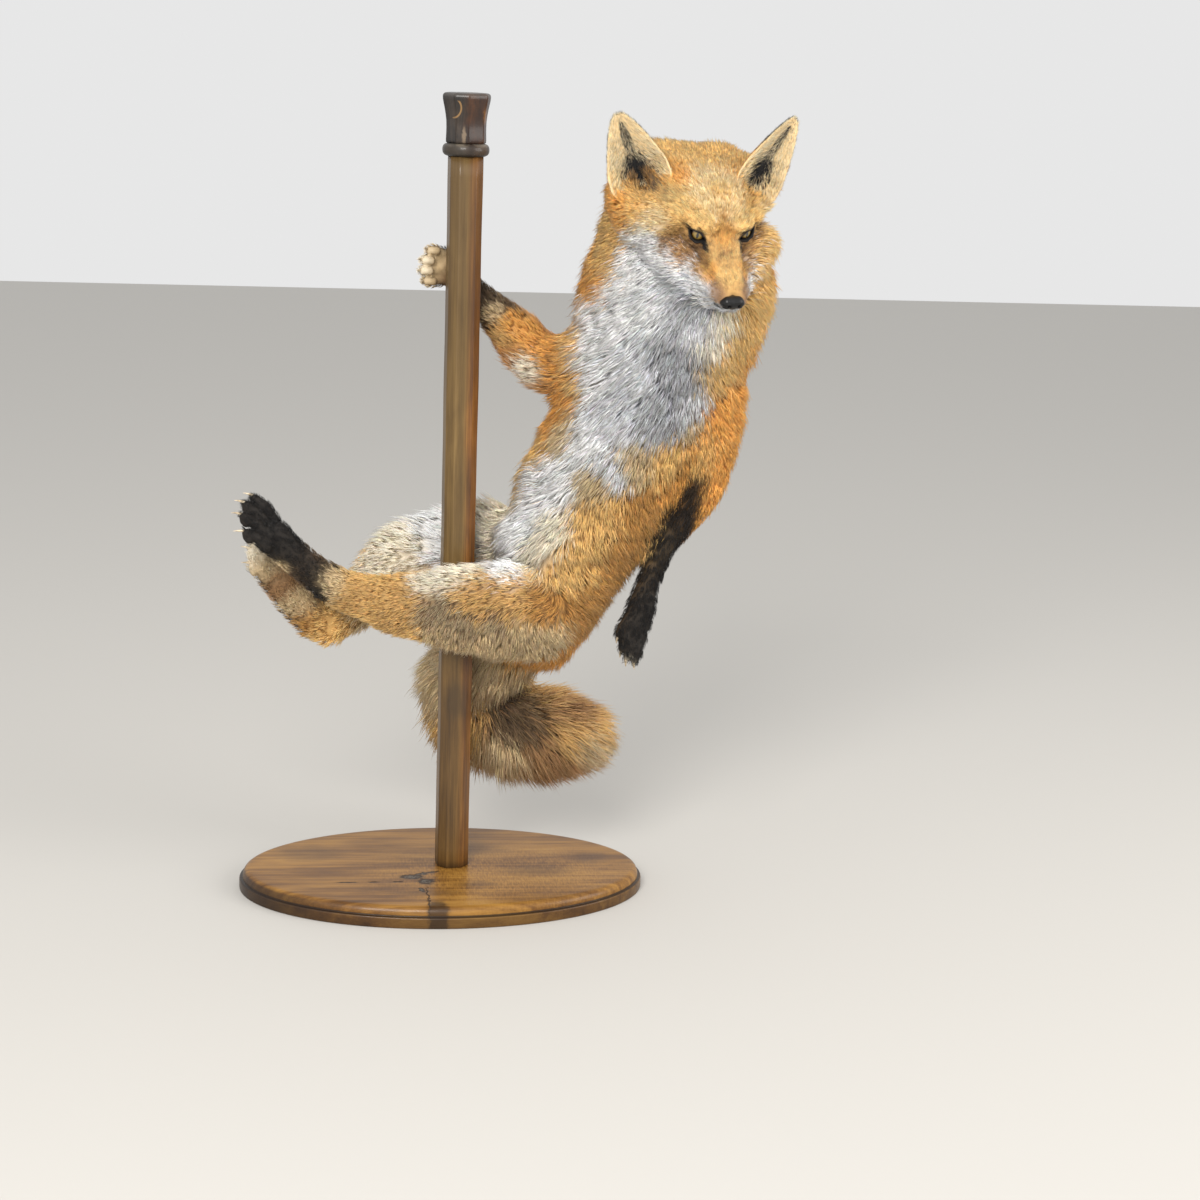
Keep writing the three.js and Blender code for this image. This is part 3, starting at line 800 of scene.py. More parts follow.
def zonesAndDepth(low, high):
    # the distance from each zone, and the coat's depth, which changes slowly from node to node
    step = skinValues["zoneStep"] * mm
    weights, total, zones = 0, 0, {}
    for zone, names in fleshNodes.items():
        nearest = None
        for name in names:
            places, corners = cornersOfNodes([name])
            node = distanceField(places, corners, step, 54 * mm, low, high)[0]
            share = np.exp(-np.maximum(node.values, 0) / (8 * mm))
            weights = weights + share
            total = total + share * coatDepth[name] * mm
            nearest = node.values if nearest is None else np.minimum(nearest, node.values)
        zones[zone] = Field(node.low, step, nearest)
    return zones, Field(node.low, step, (total / np.maximum(weights, 1e-9)).astype(np.float32))


def sculptEar(sculpt, ear):
    middle, reach = ear.root + ear.rise * 0.45, 66 * mm
    shape = ear.field(middle - reach - 4 * mm, middle + reach + 4 * mm)
    sculpt.add(middle, 62 * mm, lambda at: shape.read(at.reshape(-1, 3)).reshape(at.shape[:-1]), 5)
    out = ear.front * earValues["hollowOut"] * mm
    hollow = [ear.sheet(np.array([along]), np.zeros(1))[0] + out for along in earValues["hollow"]]
    addCapsule(sculpt, *hollow, *earValues["hollowRadii"], 1.5, carve=True)


def makeSkin():
    margin = skinValues["margin"] * mm
    low, high = skinLow - margin, skinHigh + margin
    flesh = fleshField(low, high)
    note("flesh field")
    zones, depth = zonesAndDepth(low, high)
    note("zones")
    fine, broad = (Field(flesh.low, flesh.step, blurred(flesh.values, skinValues[name] / skinValues["step"]))
                   for name in ("fineSoftening", "softening"))
    depthHere = onSkinGrid(depth)
    share = smoothStep(3 * mm, 11 * mm, depthHere)
    values = mix(onSkinGrid(fine), onSkinGrid(broad), share.astype(np.float32)) + depthHere
    note("softened")
    sculpt = Sculpt(skinAxes, np.ascontiguousarray(values, np.float32))
    for at, depthMore, reach in headTrims:
        sculpt.trim(inHead(*at), depthMore * mm, reach * mm)
    nape = (np.array(at) * mm for at in skinValues["nape"])
    addCapsule(sculpt, *nape, *skinValues["napeRadii"], 18)
    for ear in ears.values():
        sculptEar(sculpt, ear)
    sculptFace(sculpt)
    for foot in feet.values():
        sculptFoot(sculpt, foot)
    note("face and feet")
    grid = openvdb.FloatGrid(1.0)
    grid.copyFromArray(np.clip(sculpt.values / (1.5 * mm), -3, 3).astype(np.float32))
    places, corners, quads = grid.convertToPolygons(isovalue=0.0, adaptivity=0.0)
    places = np.stack([np.interp(places[:, i], np.arange(len(axis)), axis)
                       for i, axis in enumerate(skinAxes)], -1)
    note(f"skin extracted, {len(corners) + 2 * len(quads)} triangles")
    return (places, corners, quads), zones


skinShell, zoneFields = makeSkin()


def joinedFaces(places, corners, quads):
    # one mesh from triangles and quads, with the loose bits inside left out
    triangles = np.concatenate([corners, quads[:, [0, 1, 2]], quads[:, [0, 2, 3]]]).astype(np.int32)
    label = np.arange(len(places))
    while True:
        low = label[triangles].min(1)
        before = label.copy()
        np.minimum.at(label, triangles.ravel(), np.repeat(low, 3))
        label = label[label]
        if (label == before).all():
            break
    names, sizes = np.unique(label[triangles[:, 0]], return_counts=True)
    kept = label[triangles[:, 0]] == names[sizes.argmax()]
    triangles = triangles[kept]
    used = np.unique(triangles)
    order = np.zeros(len(places), np.int32)
    order[used] = np.arange(len(used))
    return places[used], order[triangles]


def decimated(mesh, target, keep):
    # fewer triangles, taken mostly where keep is low
    piece = makeObject("rough", mesh)
    group = piece.vertex_groups.new(name="spare")
    levels = np.round(np.clip(1 - keep, 0, 1) * 4).astype(int)
    for level in range(1, 5):
        group.add(np.flatnonzero(levels == level).tolist(), level / 4, "REPLACE")
    reducer = piece.modifiers.new("fewer", "DECIMATE")
    reducer.ratio = target / len(mesh.polygons)
    reducer.vertex_group = "spare"
    reducer.vertex_group_factor = 3.0
    result = bpy.data.meshes.new_from_object(piece.evaluated_get(bpy.context.evaluated_depsgraph_get()))
    bpy.data.objects.remove(piece)
    return result


def nearFace(places):
    off = (places - headMiddle) @ headTurn.T / mm
    return np.exp(-np.maximum(0, np.linalg.norm((off - (0, 30, -14)) / (1, 1.5, 1), axis=1) - 34) / 12)


def nearEars(places):
    return np.max([smoothStep(0.05, 0.25, (places - ear.root) @ ear.rise / (ear.rise @ ear.rise))
                   * (np.linalg.norm(places - ear.root - 0.5 * ear.rise, axis=1) < 60 * mm)
                   for ear in ears.values()], axis=0)


def nearFeet(places):
    near = [np.linalg.norm(places - foot.tips, axis=1) for foot in feet.values()]
    return np.exp(-np.maximum(0, np.min(near, axis=0) / mm - 30) / 10)


def skinMesh():
    places, triangles = joinedFaces(*skinShell)
    note(f"one shell, {len(triangles)} triangles")
    mesh = makeMesh("skin", places, triangles)
    keep = np.maximum.reduce([nearFace(places), 0.7 * nearFeet(places), 0.7 * nearEars(places)])
    mesh = decimated(mesh, skinValues["triangles"], keep)
    mesh.name = "skin"
    mesh.polygons.foreach_set("use_smooth", np.full(len(mesh.polygons), True))
    note(f"skin thinned to {len(mesh.polygons)} triangles")
    return mesh


skinShape = skinMesh()


# the coat's colours, from a hair's root to its tip
# the darker root stop is partly the hair's own banding and partly painted shade deep in the coat
palette = {
    "orange": ((0.81, 0.57, 0.31), (0.90, 0.645, 0.32), (0.95, 0.74, 0.42)),
    "gold": ((0.80, 0.64, 0.41), (0.90, 0.725, 0.44), (0.95, 0.815, 0.56)),
    "paleGold": ((0.84, 0.72, 0.54), (0.93, 0.81, 0.60), (0.98, 0.91, 0.75)),
    "rust": ((0.58, 0.41, 0.25), (0.72, 0.50, 0.28), (0.82, 0.61, 0.37)),
    "amber": ((0.54, 0.39, 0.21), (0.70, 0.505, 0.26), (0.84, 0.645, 0.37)),
    "ochre": ((0.66, 0.52, 0.34), (0.80, 0.63, 0.38), (0.89, 0.74, 0.50)),
    "tan": ((0.66, 0.57, 0.44), (0.79, 0.69, 0.52), (0.91, 0.83, 0.68)),
    "cream": ((0.84, 0.79, 0.70), (0.93, 0.89, 0.80), (0.98, 0.96, 0.90)),
    "white": ((0.93, 0.935, 0.94), (0.965, 0.97, 0.975), (1.0, 1.0, 1.0)),
    "silver": ((0.74, 0.75, 0.775), (0.85, 0.86, 0.88), (0.97, 0.975, 0.98)),
    "slate": ((0.52, 0.53, 0.555), (0.63, 0.64, 0.665), (0.88, 0.885, 0.895)),
    "agouti": ((0.52, 0.44, 0.34), (0.54, 0.45, 0.34), (0.90, 0.82, 0.67)),
    "brown": ((0.42, 0.31, 0.21), (0.55, 0.41, 0.27), (0.74, 0.58, 0.40)),
    "dark": ((0.22, 0.175, 0.14), (0.29, 0.23, 0.17), (0.48, 0.39, 0.29)),
    "black": ((0.045, 0.04, 0.04), (0.06, 0.055, 0.055), (0.12, 0.11, 0.11)),
}
hairColours = {name: np.array([linear(stop) for stop in stops]) for name, stops in palette.items()}

# Where the coat takes its look: a place, the way the hair lies there, its colour, its length and reach.
# The head's places are left, forward and up in the head. They stand for both sides, and a negative one
# for the right side alone. The other places are in the frame.
headCoat = (
    ((0, 70, -19), (0, -1, 0.25), "ochre", 4, 6),
    ((6, 56, -15), (0.1, -1, 0.3), "gold", 5, 6),
    ((0, 44, -11), (0, -1, 0.3), "ochre", 5, 7),
    ((0, 30, -6), (0.1, -0.9, 0.5), "brown", 6, 4),
    ((9, 28, -6), (0.2, -0.9, 0.5), "ochre", 6, 7),
    ((0, 22, -2), (0, -0.8, 0.6), "orange", 6, 6),
    ((0, 15, 7), (0, -0.6, 0.8), "amber", 7, 5),
    ((0, 6, 22), (0, -0.5, 0.85), "amber", 8, 4.5),
    ((0, -4, 36), (0, -0.6, 0.8), "gold", 8.5, 8),
    ((9, -2, 33), (0.25, -0.6, 0.75), "paleGold", 8.5, 9),
    ((0, -14, 43), (0, -0.85, 0.5), "gold", 9, 13),
    ((20, -8, 37), (0.35, -0.7, 0.6), "paleGold", 9, 12),
    ((22, 5, 19), (0.4, -0.3, 0.85), "gold", 7, 7),
    ((38, -4, 18), (0.75, -0.4, 0.5), "gold", 8.3, 9),
    ((50, -16, 28), (0.8, -0.5, 0.2), "gold", 7, 11),
    ((10, -50, 54), (0.1, -1, 0.2), "paleGold", 9, 17),
    ((36, -50, 48), (0.4, -0.9, 0.1), "orange", 9, 13),
    ((60, -30, 36), (0.5, -0.8, 0.2), "gold", 7.5, 11),
    ((20, -88, 34), (0.2, -0.95, -0.3), "gold", 10, 22),
    ((84, -44, 14), (0.5, -0.8, 0.1), "gold", 7, 11),
    ((-72, -66, 18), (0.2, -0.6, 0.7), "dark", 6, 12),
    ((-67, -50, 20), (0.2, -0.5, 0.8), "dark", 6, 8),
    ((70, -50, 34), (0.8, -0.5, 0), "orange", 8.5, 13),
    ((86, -24, 22), (0.8, -0.5, -0.2), "gold", 9, 13),
    ((66, -10, 6), (0.95, -0.2, 0.1), "paleGold", 11, 10),
    ((88, -18, 0), (0.8, -0.4, -0.5), "gold", 9.5, 12),
    ((98, -40, -8), (0.6, -0.6, -0.6), "orange", 13, 16),
    ((50, 0, -4), (0.95, -0.1, -0.1), "ochre", 8.3, 7),
    ((52, 2, -15), (0.9, -0.3, 0), "brown", 8, 8.5),
    ((76, -13, -6), (0.8, -0.4, -0.4), "cream", 11, 9),
    ((68, -8, -22), (0.95, -0.1, -0.15), "white", 12, 9),
    ((80, -14, -28), (0.8, -0.3, -0.5), "white", 14, 12),
    ((90, -40, -40), (0.6, -0.5, -0.7), "paleGold", 15, 12),
    ((47, 6, -34), (0.9, -0.3, -0.2), "white", 11, 9),
    ((30, 24, -36), (0.75, -0.6, -0.1), "white", 8, 7),
    ((20, 42, -38), (0.6, -0.75, -0.1), "white", 6, 6),
    # silver beside the mouth line: partly the fur's own grey, partly painted shade along it
    ((15, 58, -37), (0.5, -0.85, -0.1), "silver", 5, 6),
    ((32, 16, -16), (0.8, -0.5, 0.1), "brown", 6, 7),
    ((41, 11, -19), (0.8, -0.5, 0.1), "amber", 7, 8),
    ((24, 30, -21), (0.7, -0.7, 0.1), "amber", 6, 7),
    ((17, 44, -22), (0.5, -0.85, 0.1), "orange", 5, 6),
    ((12, 60, -25), (0.4, -0.9, 0.15), "brown", 4, 5),
    ((11, 70, -31), (0.5, -0.85, 0), "brown", 3, 4),
    # silver along the jaw: partly the fur's own grey, partly painted shade along the mouth line
    ((7, 68, -50), (0.3, -0.9, -0.3), "silver", 6, 7),
    ((14, 48, -54), (0.5, -0.8, -0.3), "white", 9, 8),
    ((30, 26, -56), (0.7, -0.6, -0.4), "silver", 13, 9),
    ((46, 4, -52), (0.8, -0.4, -0.5), "silver", 17, 11),
    ((0, 30, -60), (0, -0.7, -0.7), "slate", 14, 12),
    ((60, -40, -52), (0.6, -0.5, -0.7), "white", 24, 12),
    ((70, -80, -20), (0.7, -0.6, -0.6), "orange", 24, 22),
    ((35, -98, -10), (0.3, -0.8, -0.6), "orange", 24, 22),
    ((60, -78, -55), (0.5, -0.6, -0.7), "orange", 26, 20),
    ((15, 64, -33), (0.5, -0.85, 0), "brown", 4, 4),
)
neckCoat = (
    ((192, -28, 706), (-0.75, 0.3, -0.5), "white", 25, 16),
    ((164, 4, 738), (-0.5, 0.6, -0.6), "gold", 19, 13),
    ((170, -5, 715), (-0.6, 0.6, -0.6), "gold", 21, 14),
    ((247, -55, 677), (-0.5, 0, -0.8), "slate", 26, 16),
    ((228, -55, 680), (-0.8, 0, -0.6), "silver", 28, 14),
    ((206, -45, 675), (-0.85, 0.2, -0.5), "white", 27, 18),
    ((176, -27, 683), (-0.7, 0.4, -0.6), "white", 23, 15),
    ((157, -7, 691), (-0.6, 0.6, -0.6), "orange", 22, 14),
    ((165, -30, 655), (-0.8, 0.2, -0.6), "white", 26, 17),
    ((148, -5, 655), (-0.6, 0.5, -0.7), "gold", 23, 13),
    ((200, -50, 640), (-0.7, 0, -0.7), "white", 27, 18),
    ((232, -56, 640), (-0.5, 0, -0.85), "slate", 26, 13),
    ((259, -57, 650), (-0.1, 0, -1), "silver", 26, 13),
    ((270, -57, 630), (0, 0, -1), "cream", 27, 12),
    ((286, -53, 655), (0.1, 0, -1), "cream", 26, 11),
    ((309, -48, 645), (0.3, 0.1, -0.95), "gold", 24, 16),
    ((330, -40, 680), (0.6, 0.3, -0.75), "gold", 23, 16),
    ((334, -18, 620), (0.4, 0.3, -0.85), "orange", 24, 16),
    ((326, -46, 714), (0.6, 0.3, -0.7), "gold", 20, 16),
    ((340, 20, 690), (0.5, 0.6, -0.6), "orange", 23, 26),
    ((252, 80, 700), (0, 0.5, -0.9), "orange", 24, 28),
    ((176, 55, 700), (-0.5, 0.5, -0.7), "orange", 31, 26),
    ((250, 85, 640), (0, 0.3, -1), "orange", 29, 30),
)
trunkCoat = (
    ((150, -20, 625), (-0.8, 0.3, -0.5), "white", 32, 16),
    ((133, 0, 625), (-0.7, 0.5, -0.5), "gold", 30, 13),
    ((198, -47, 589), (-0.75, 0, -0.65), "silver", 27, 18),
    ((241, -53, 600), (-0.3, 0, -0.95), "slate", 26, 17),
    ((264, -52, 606), (0.1, 0, -1), "tan", 22, 8),
    ((290, -48, 600), (0.7, 0.1, -0.7), "gold", 26, 14),
    ((160, -28, 600), (-0.85, 0.2, -0.45), "white", 30, 18),
    ((136, -6, 588), (-0.7, 0.4, -0.6), "gold", 28, 12),
    ((181, -42, 548), (-0.7, 0, -0.7), "silver", 27, 18),
    ((149, -31, 521), (-0.65, 0.1, -0.75), "white", 28, 17),
    ((222, -48, 550), (-0.5, 0, -0.85), "slate", 25, 17),
    ((256, -46, 565), (0, 0, -1), "silver", 22, 12),
    ((122, -7, 530), (-0.6, 0.2, -0.8), "tan", 25, 13),
    ((268, -40, 530), (0.3, 0, -0.95), "tan", 22, 12),
    ((202, -45, 510), (-0.3, 0, -0.95), "tan", 24, 14),
    ((175, -43, 500), (-0.5, 0, -0.85), "silver", 25, 12),
    ((236, -38, 505), (-0.2, 0, -1), "gold", 22, 14),
    ((262, -25, 480), (0, 0.1, -1), "amber", 20, 14),
    ((230, -9, 414), (-0.3, 0, -0.95), "black", 9, 9),
    ((242, -6, 440), (-0.3, 0, -0.95), "black", 10, 9),
    ((158, -39, 480), (-0.65, 0, -0.75), "tan", 26, 12),
    ((119, -21, 478), (-0.75, 0.1, -0.65), "white", 32, 15),
    ((95, 0, 475), (-0.85, 0.3, 0.3), "white", 34, 14),
    ((77, -11, 430), (-0.8, 0.1, -0.5), "white", 34, 16),
    ((118, -40, 436), (-0.6, -0.1, -0.8), "cream", 26, 11),
    ((100, -44, 415), (-0.6, -0.1, -0.8), "cream", 28, 12),
    ((161, -44, 440), (0, -0.1, -1), "gold", 25, 17),
    # amber rows below: partly the coat's own colour, partly painted shade between the belly and the thigh
    ((206, -37, 436), (0.3, 0, -0.95), "amber", 22, 17),
    ((140, -51, 393), (0.4, 0, -0.9), "gold", 23, 16),
    ((185, -40, 392), (0.6, 0.2, -0.8), "amber", 22, 18),
    ((165, -40, 356), (0.75, 0.4, -0.5), "amber", 21, 17),
    ((130, -40, 330), (0.6, 0.5, -0.6), "amber", 20, 15),
    ((324, 10, 590), (0.6, 0.3, -0.75), "orange", 28, 26),
    ((308, 20, 530), (0.4, 0.3, -0.85), "orange", 27, 26),
    ((270, 20, 460), (0.3, 0.3, -0.9), "orange", 25, 26),
    ((230, 30, 400), (0.4, 0.3, -0.85), "gold", 25, 26),
    ((200, 20, 340), (0.5, 0.3, -0.8), "ochre", 24, 24),
    ((230, 98, 600), (0, 0.2, -1), "orange", 32, 30),
    ((190, 98, 520), (-0.1, 0.2, -1), "orange", 30, 30),
    ((160, 98, 440), (-0.1, 0.1, -1), "amber", 28, 28),
    ((140, 85, 370), (-0.1, 0, -1), "orange", 27, 28),
    ((120, 55, 300), (-0.2, 0.2, -0.95), "orange", 26, 30),
    ((110, 45, 560), (-0.5, 0.4, -0.75), "orange", 28, 26),
    ((92, 50, 480), (-0.5, 0.3, -0.8), "gold", 28, 26),
    ((80, 50, 420), (-0.7, 0.2, -0.6), "cream", 30, 22),
)
forelegRightCoat = (
    ((140, 5, 620), (-0.8, 0.4, -0.4), "gold", 22, 14),
    ((118, 14, 606), (-0.9, 0.3, 0), "orange", 19, 13),
    ((96, 28, 622), (-0.85, 0.1, 0.45), "orange", 16, 12),
    ((62, 34, 618), (-0.85, 0, 0.5), "ochre", 13, 9),
    ((90, 34, 584), (-0.8, 0, 0.1), "cream", 16, 10),
    ((74, 33, 632), (-0.75, 0, 0.65), "orange", 13, 10),
    ((70, 40, 656), (-0.7, 0, 0.7), "dark", 13, 9),
    ((98, 46, 652), (-0.7, 0, 0.7), "brown", 14, 11),
    ((50, 34, 648), (-0.75, 0, 0.65), "tan", 12, 8),
    ((50, 40, 668), (-0.7, 0, 0.7), "dark", 11, 10),
    ((24, 34, 676), (-0.75, -0.1, 0.65), "dark", 9, 12),
    ((4, 32, 688), (-0.9, -0.2, 0.35), "brown", 7, 10),
    ((-16, 24, 698), (-0.8, -0.6, 0.1), "tan", 6, 10),
    ((-30, 14, 700), (-0.8, -0.6, 0), "cream", 5, 8),
    ((100, 80, 600), (-0.8, 0, 0.6), "rust", 18, 30),
    ((40, 66, 668), (-0.75, 0, 0.65), "dark", 11, 22),
    ((0, 58, 695), (-0.8, -0.5, 0.3), "black", 7, 16),
)
forelegLeftCoat = (
    ((284, -31, 570), (0.4, 0, -0.9), "orange", 22, 17),
    ((316, -10, 560), (0.6, 0.3, -0.75), "orange", 24, 20),
    ((270, -24, 510), (0, 0, -1), "gold", 18, 13),
    ((304, -14, 505), (0.3, 0.1, -0.95), "orange", 19, 15),
    ((268, -26, 470), (-0.2, -0.1, -1), "black", 13, 11),
    ((292, -8, 465), (0, 0, -1), "orange", 15, 10),
    ((252, -20, 440), (-0.4, -0.1, -0.9), "black", 10, 12),
    ((276, 4, 440), (-0.4, 0, -0.9), "orange", 14, 8),
    ((262, 12, 405), (-0.4, -0.1, -0.9), "rust", 12, 8),
    ((240, -20, 405), (-0.4, -0.1, -0.9), "black", 9, 14),
    ((222, -26, 360), (-0.3, -0.2, -0.95), "black", 8, 20),
    ((210, -38, 318), (-0.3, -0.2, -0.95), "black", 6, 20),
    ((196, -42, 290), (-0.3, -0.2, -0.9), "black", 5, 14),
    ((214, -20, 290), (0.1, 0, -1), "cream", 7, 6),
    ((196, -42, 272), (-0.3, -0.2, -0.9), "cream", 5, 5),
    ((280, 40, 540), (0.2, 0.2, -1), "orange", 22, 30),
    ((262, 30, 440), (-0.3, 0, -0.95), "rust", 13, 16),
    ((236, 10, 370), (-0.3, -0.1, -0.95), "black", 8, 20),
)
hindlegLeftCoat = (
    ((34, -74, 362), (-0.95, 0, -0.3), "ochre", 18, 14),
    ((70, -64, 388), (-0.9, 0, 0.3), "white", 22, 14),
    ((-30, -64, 376), (-0.95, 0, 0.2), "cream", 14, 11),
    ((20, -64, 388), (-0.95, 0, 0.2), "cream", 20, 14),
    ((74, -76, 356), (-1, 0, -0.1), "ochre", 19, 17),
    # amber here: partly the coat's own colour, partly painted shade between the thigh and the belly
    ((108, -62, 350), (-1, -0.1, 0), "amber", 18, 13),
    ((113, -56, 385), (-0.7, -0.3, -0.6), "paleGold", 20, 13),
    ((53, -78, 330), (-0.3, 0, -0.95), "agouti", 17, 10),
    ((50, -70, 305), (0, 0.3, -0.95), "tan", 18, 11),
    ((84, -72, 320), (0.3, 0.1, -0.95), "tan", 18, 11),
    ((110, -56, 302), (0.5, 0.4, -0.8), "tan", 20, 14),
    ((10, -78, 330), (-0.2, 0, -0.95), "agouti", 17, 10),
    ((-20, -74, 340), (-0.6, 0, -0.8), "agouti", 15, 10),
    ((-5, -72, 312), (-0.1, 0.3, -0.9), "tan", 17, 11),
    ((-54, -66, 354), (-0.95, 0, -0.15), "ochre", 13, 15),
    ((-60, -58, 330), (-0.8, 0.2, -0.5), "ochre", 13, 10),
    ((-95, -52, 350), (-0.95, 0.1, 0.1), "ochre", 10, 14),
    ((-125, -46, 362), (-0.85, 0, 0.4), "tan", 9, 10),
    ((-148, -42, 376), (-0.7, 0, 0.7), "black", 7, 9),
    ((-138, -34, 356), (-0.8, 0, 0.5), "black", 8, 8),
    ((-168, -42, 400), (-0.7, 0, 0.7), "black", 6, 12),
    ((-188, -46, 420), (-0.6, 0, 0.75), "black", 6, 14),
    ((-212, -48, 442), (-0.65, 0, 0.7), "black", 5, 12),
    ((-176, -28, 380), (-0.7, 0, 0.7), "tan", 7, 6),
    ((60, 0, 300), (-0.6, 0.3, -0.8), "tan", 18, 26),
    ((-60, -15, 340), (-0.9, 0, 0), "gold", 14, 24),
    ((-150, -15, 378), (-0.7, 0, 0.7), "dark", 9, 16),
)
hindlegRightCoat = (
    ((90, 30, 410), (-0.6, 0.2, 0.5), "cream", 30, 20),
    ((40, 40, 420), (-0.7, 0.1, 0.6), "cream", 30, 20),
    ((0, 40, 408), (-0.8, 0.1, 0.4), "white", 26, 18),
    ((20, 28, 385), (-0.85, 0, -0.1), "silver", 22, 12),
    ((-50, 36, 392), (-0.9, 0.2, 0.2), "cream", 24, 16),
    ((-70, 26, 365), (-0.9, 0.1, -0.3), "cream", 18, 14),
    ((-100, 30, 330), (-0.8, 0, -0.6), "tan", 14, 14),
    ((-128, 14, 304), (-0.8, 0, -0.1), "gold", 13, 14),
    ((-150, 10, 305), (-0.7, 0, 0.6), "amber", 12, 10),
    ((-160, 4, 326), (-0.6, 0, 0.8), "tan", 9, 11),
    ((-180, 0, 350), (-0.6, 0, 0.8), "brown", 8, 11),
    ((-196, -8, 372), (-0.6, 0, 0.8), "tan", 7, 11),
    ((-208, -10, 390), (-0.6, 0, 0.8), "cream", 6, 11),
    ((50, 110, 370), (-0.8, 0.1, -0.5), "orange", 24, 30),
    ((-60, 90, 340), (-0.8, 0, -0.5), "gold", 18, 24),
    ((-150, 30, 320), (-0.6, 0, 0.8), "dark", 9, 16),
    ((-195, 20, 372), (-0.6, 0, 0.8), "black", 7, 14),
)
tailCoat = (
    ((96, 20, 275), (-0.3, 0.3, -0.9), "tan", 34, 18),
    ((60, 40, 245), (-0.3, 0.4, -0.9), "tan", 38, 17),
    ((20, 50, 240), (-0.6, 0.3, -0.8), "tan", 38, 17),
    ((-12, 62, 214), (-0.6, 0.2, -0.8), "tan", 38, 18),
    ((10, 60, 170), (-0.4, 0.2, -0.95), "gold", 48, 16),
    ((44, 40, 200), (0.2, 0, -1), "ochre", 42, 12),
    ((62, 36, 216), (0.55, 0.1, -0.8), "brown", 40, 11),
    # dark inside the tail's curve: partly darker fur, partly painted shade between the tail and the thigh
    ((76, 52, 198), (0.6, -0.2, -0.75), "dark", 36, 15),
    ((90, 38, 186), (0.7, -0.2, -0.65), "dark", 42, 12),
    ((92, 60, 208), (0.85, 0, 0.1), "dark", 42, 12),
    ((132, 44, 200), (0.95, -0.2, -0.1), "brown", 46, 15),
    ((130, 28, 176), (0.9, -0.2, -0.4), "ochre", 46, 12),
    ((178, 40, 184), (0.9, -0.1, -0.3), "ochre", 40, 14),
    ((106, 26, 156), (0.45, -0.2, -0.85), "brown", 46, 13),
    ((60, 40, 150), (0, 0, -1), "tan", 46, 14),
    ((150, 26, 166), (0.8, -0.1, -0.6), "agouti", 44, 10),
    ((190, 40, 156), (0.95, 0, -0.4), "tan", 38, 12),
    ((40, 130, 190), (-0.2, 0.3, -0.9), "brown", 34, 30),
    ((110, 115, 160), (0.9, 0.1, -0.3), "brown", 34, 30),
    ((110, 95, 205), (0.95, 0, 0.25), "ochre", 44, 22),
)


class Coat:
    # the looks of one zone, spread over it by nearness
    def __init__(self, rows, inHeadFrame=False):
        spread = []
        for place, lie, colour, length, reach in rows:
            if not inHeadFrame:
                spread.append((np.array(place) * mm, unit(lie), colour, length, reach))
                continue
            for side in (-1, 1) if place[0] > 0 else (1,):
                there = inHead(place[0] * side, *place[1:])
                spread.append((there, headWay(lie[0] * side, *lie[1:]), colour, length, reach))
        places, lies, colours, lengths, reaches = zip(*spread)
        self.places, self.lies = np.array(places), np.array(lies)
        self.lengths, self.reaches = np.array(lengths) * mm, np.array(reaches) * mm
        self.stops = np.stack([hairColours[colour] for colour in colours])

    def weights(self, places):
        away = ((places[:, None, :] - self.places[None]) ** 2).sum(-1)
        near = np.exp(-away / (2 * self.reaches ** 2)) + 1e-7 / (1 + away / (20 * mm) ** 2) ** 2
        return near / near.sum(1, keepdims=True)


coats = {
    "head": Coat(headCoat, True), "neck": Coat(neckCoat), "trunk": Coat(trunkCoat),
    "forelegRight": Coat(forelegRightCoat), "forelegLeft": Coat(forelegLeftCoat),
    "hindlegLeft": Coat(hindlegLeftCoat), "hindlegRight": Coat(hindlegRightCoat), "tail": Coat(tailCoat),
}
zoneNames = list(coats)
zoneValues = {
    "reach": 9,            # millimetres over which one zone's looks give way to the next
    "faceForward": (-40, -15),
    "faceUp": (-62, -46),
    "faceHold": 14,        # keeps the ruff's looks off the face
}


def zoneShares(places):
    distances = np.stack([zoneFields[name].read(places) for name in zoneNames], -1)
    turned = (places - headMiddle) @ headTurn.T / mm
    forward, up = zoneValues["faceForward"], zoneValues["faceUp"]
    onFace = smoothStep(*forward, turned[:, 1]) * smoothStep(*up, turned[:, 2])
    distances[:, 0] -= onFace * zoneValues["faceHold"] * mm
    near = np.exp(-(distances - distances.min(1, keepdims=True)) / (zoneValues["reach"] * mm))
    return near / near.sum(1, keepdims=True)


def lookWeights(places):
    # every zone's looks together, each zone counted by how near it is
    zones = zoneShares(places)
    looks = [coats[name].weights(places) * zones[:, [i]] for i, name in enumerate(zoneNames)]
    return np.concatenate(looks, 1)


allLies, allLengths, allStops = (np.concatenate([getattr(coats[name], part) for name in zoneNames])
                                 for part in ("lies", "lengths", "stops"))
note(f"{len(allLies)} looks")


# the black about the eyes and the mouth's dark line, as shares of black
def segmentDistance(places, start, end):
    along = end - start
    share = np.clip((places - start) @ along / (along @ along), 0, 1)
    return np.linalg.norm(places - start - share[:, None] * along, axis=1)


def chainDistance(places, stations):
    return np.min([segmentDistance(places, a, b) for a, b in zip(stations, stations[1:])], axis=0)


def blackShare(places):
    share = np.zeros(len(places))
    for eye in eyes.values():
        near = eye.opening()(places) / mm
        ball = np.linalg.norm(places - eye.middle, axis=1) / mm
        rim = (1 - smoothStep(1.9, 3.8, near)) * (1 - smoothStep(14.5, 18, ball))
        tear = 1 - smoothStep(2.2, 4.4, eye.flatDistance(places, eyeValues["tear"]))
        corner = 0.9 - smoothStep(0.9, 2.7, eye.flatDistance(places, eyeValues["corner"]))
        share = np.maximum.reduce([share, rim, tear, corner])
    lips = []
    for sign in (-1, 1):
        line = [inHead(sign * left, forward, up) for left, forward, up in faceValues["lip"][:6]]
        lips.append(chainDistance(places, line) / mm)
    return np.maximum(share, 0.85 * (1 - smoothStep(1.0, 3.4, np.min(lips, axis=0))))


note("markings ready")


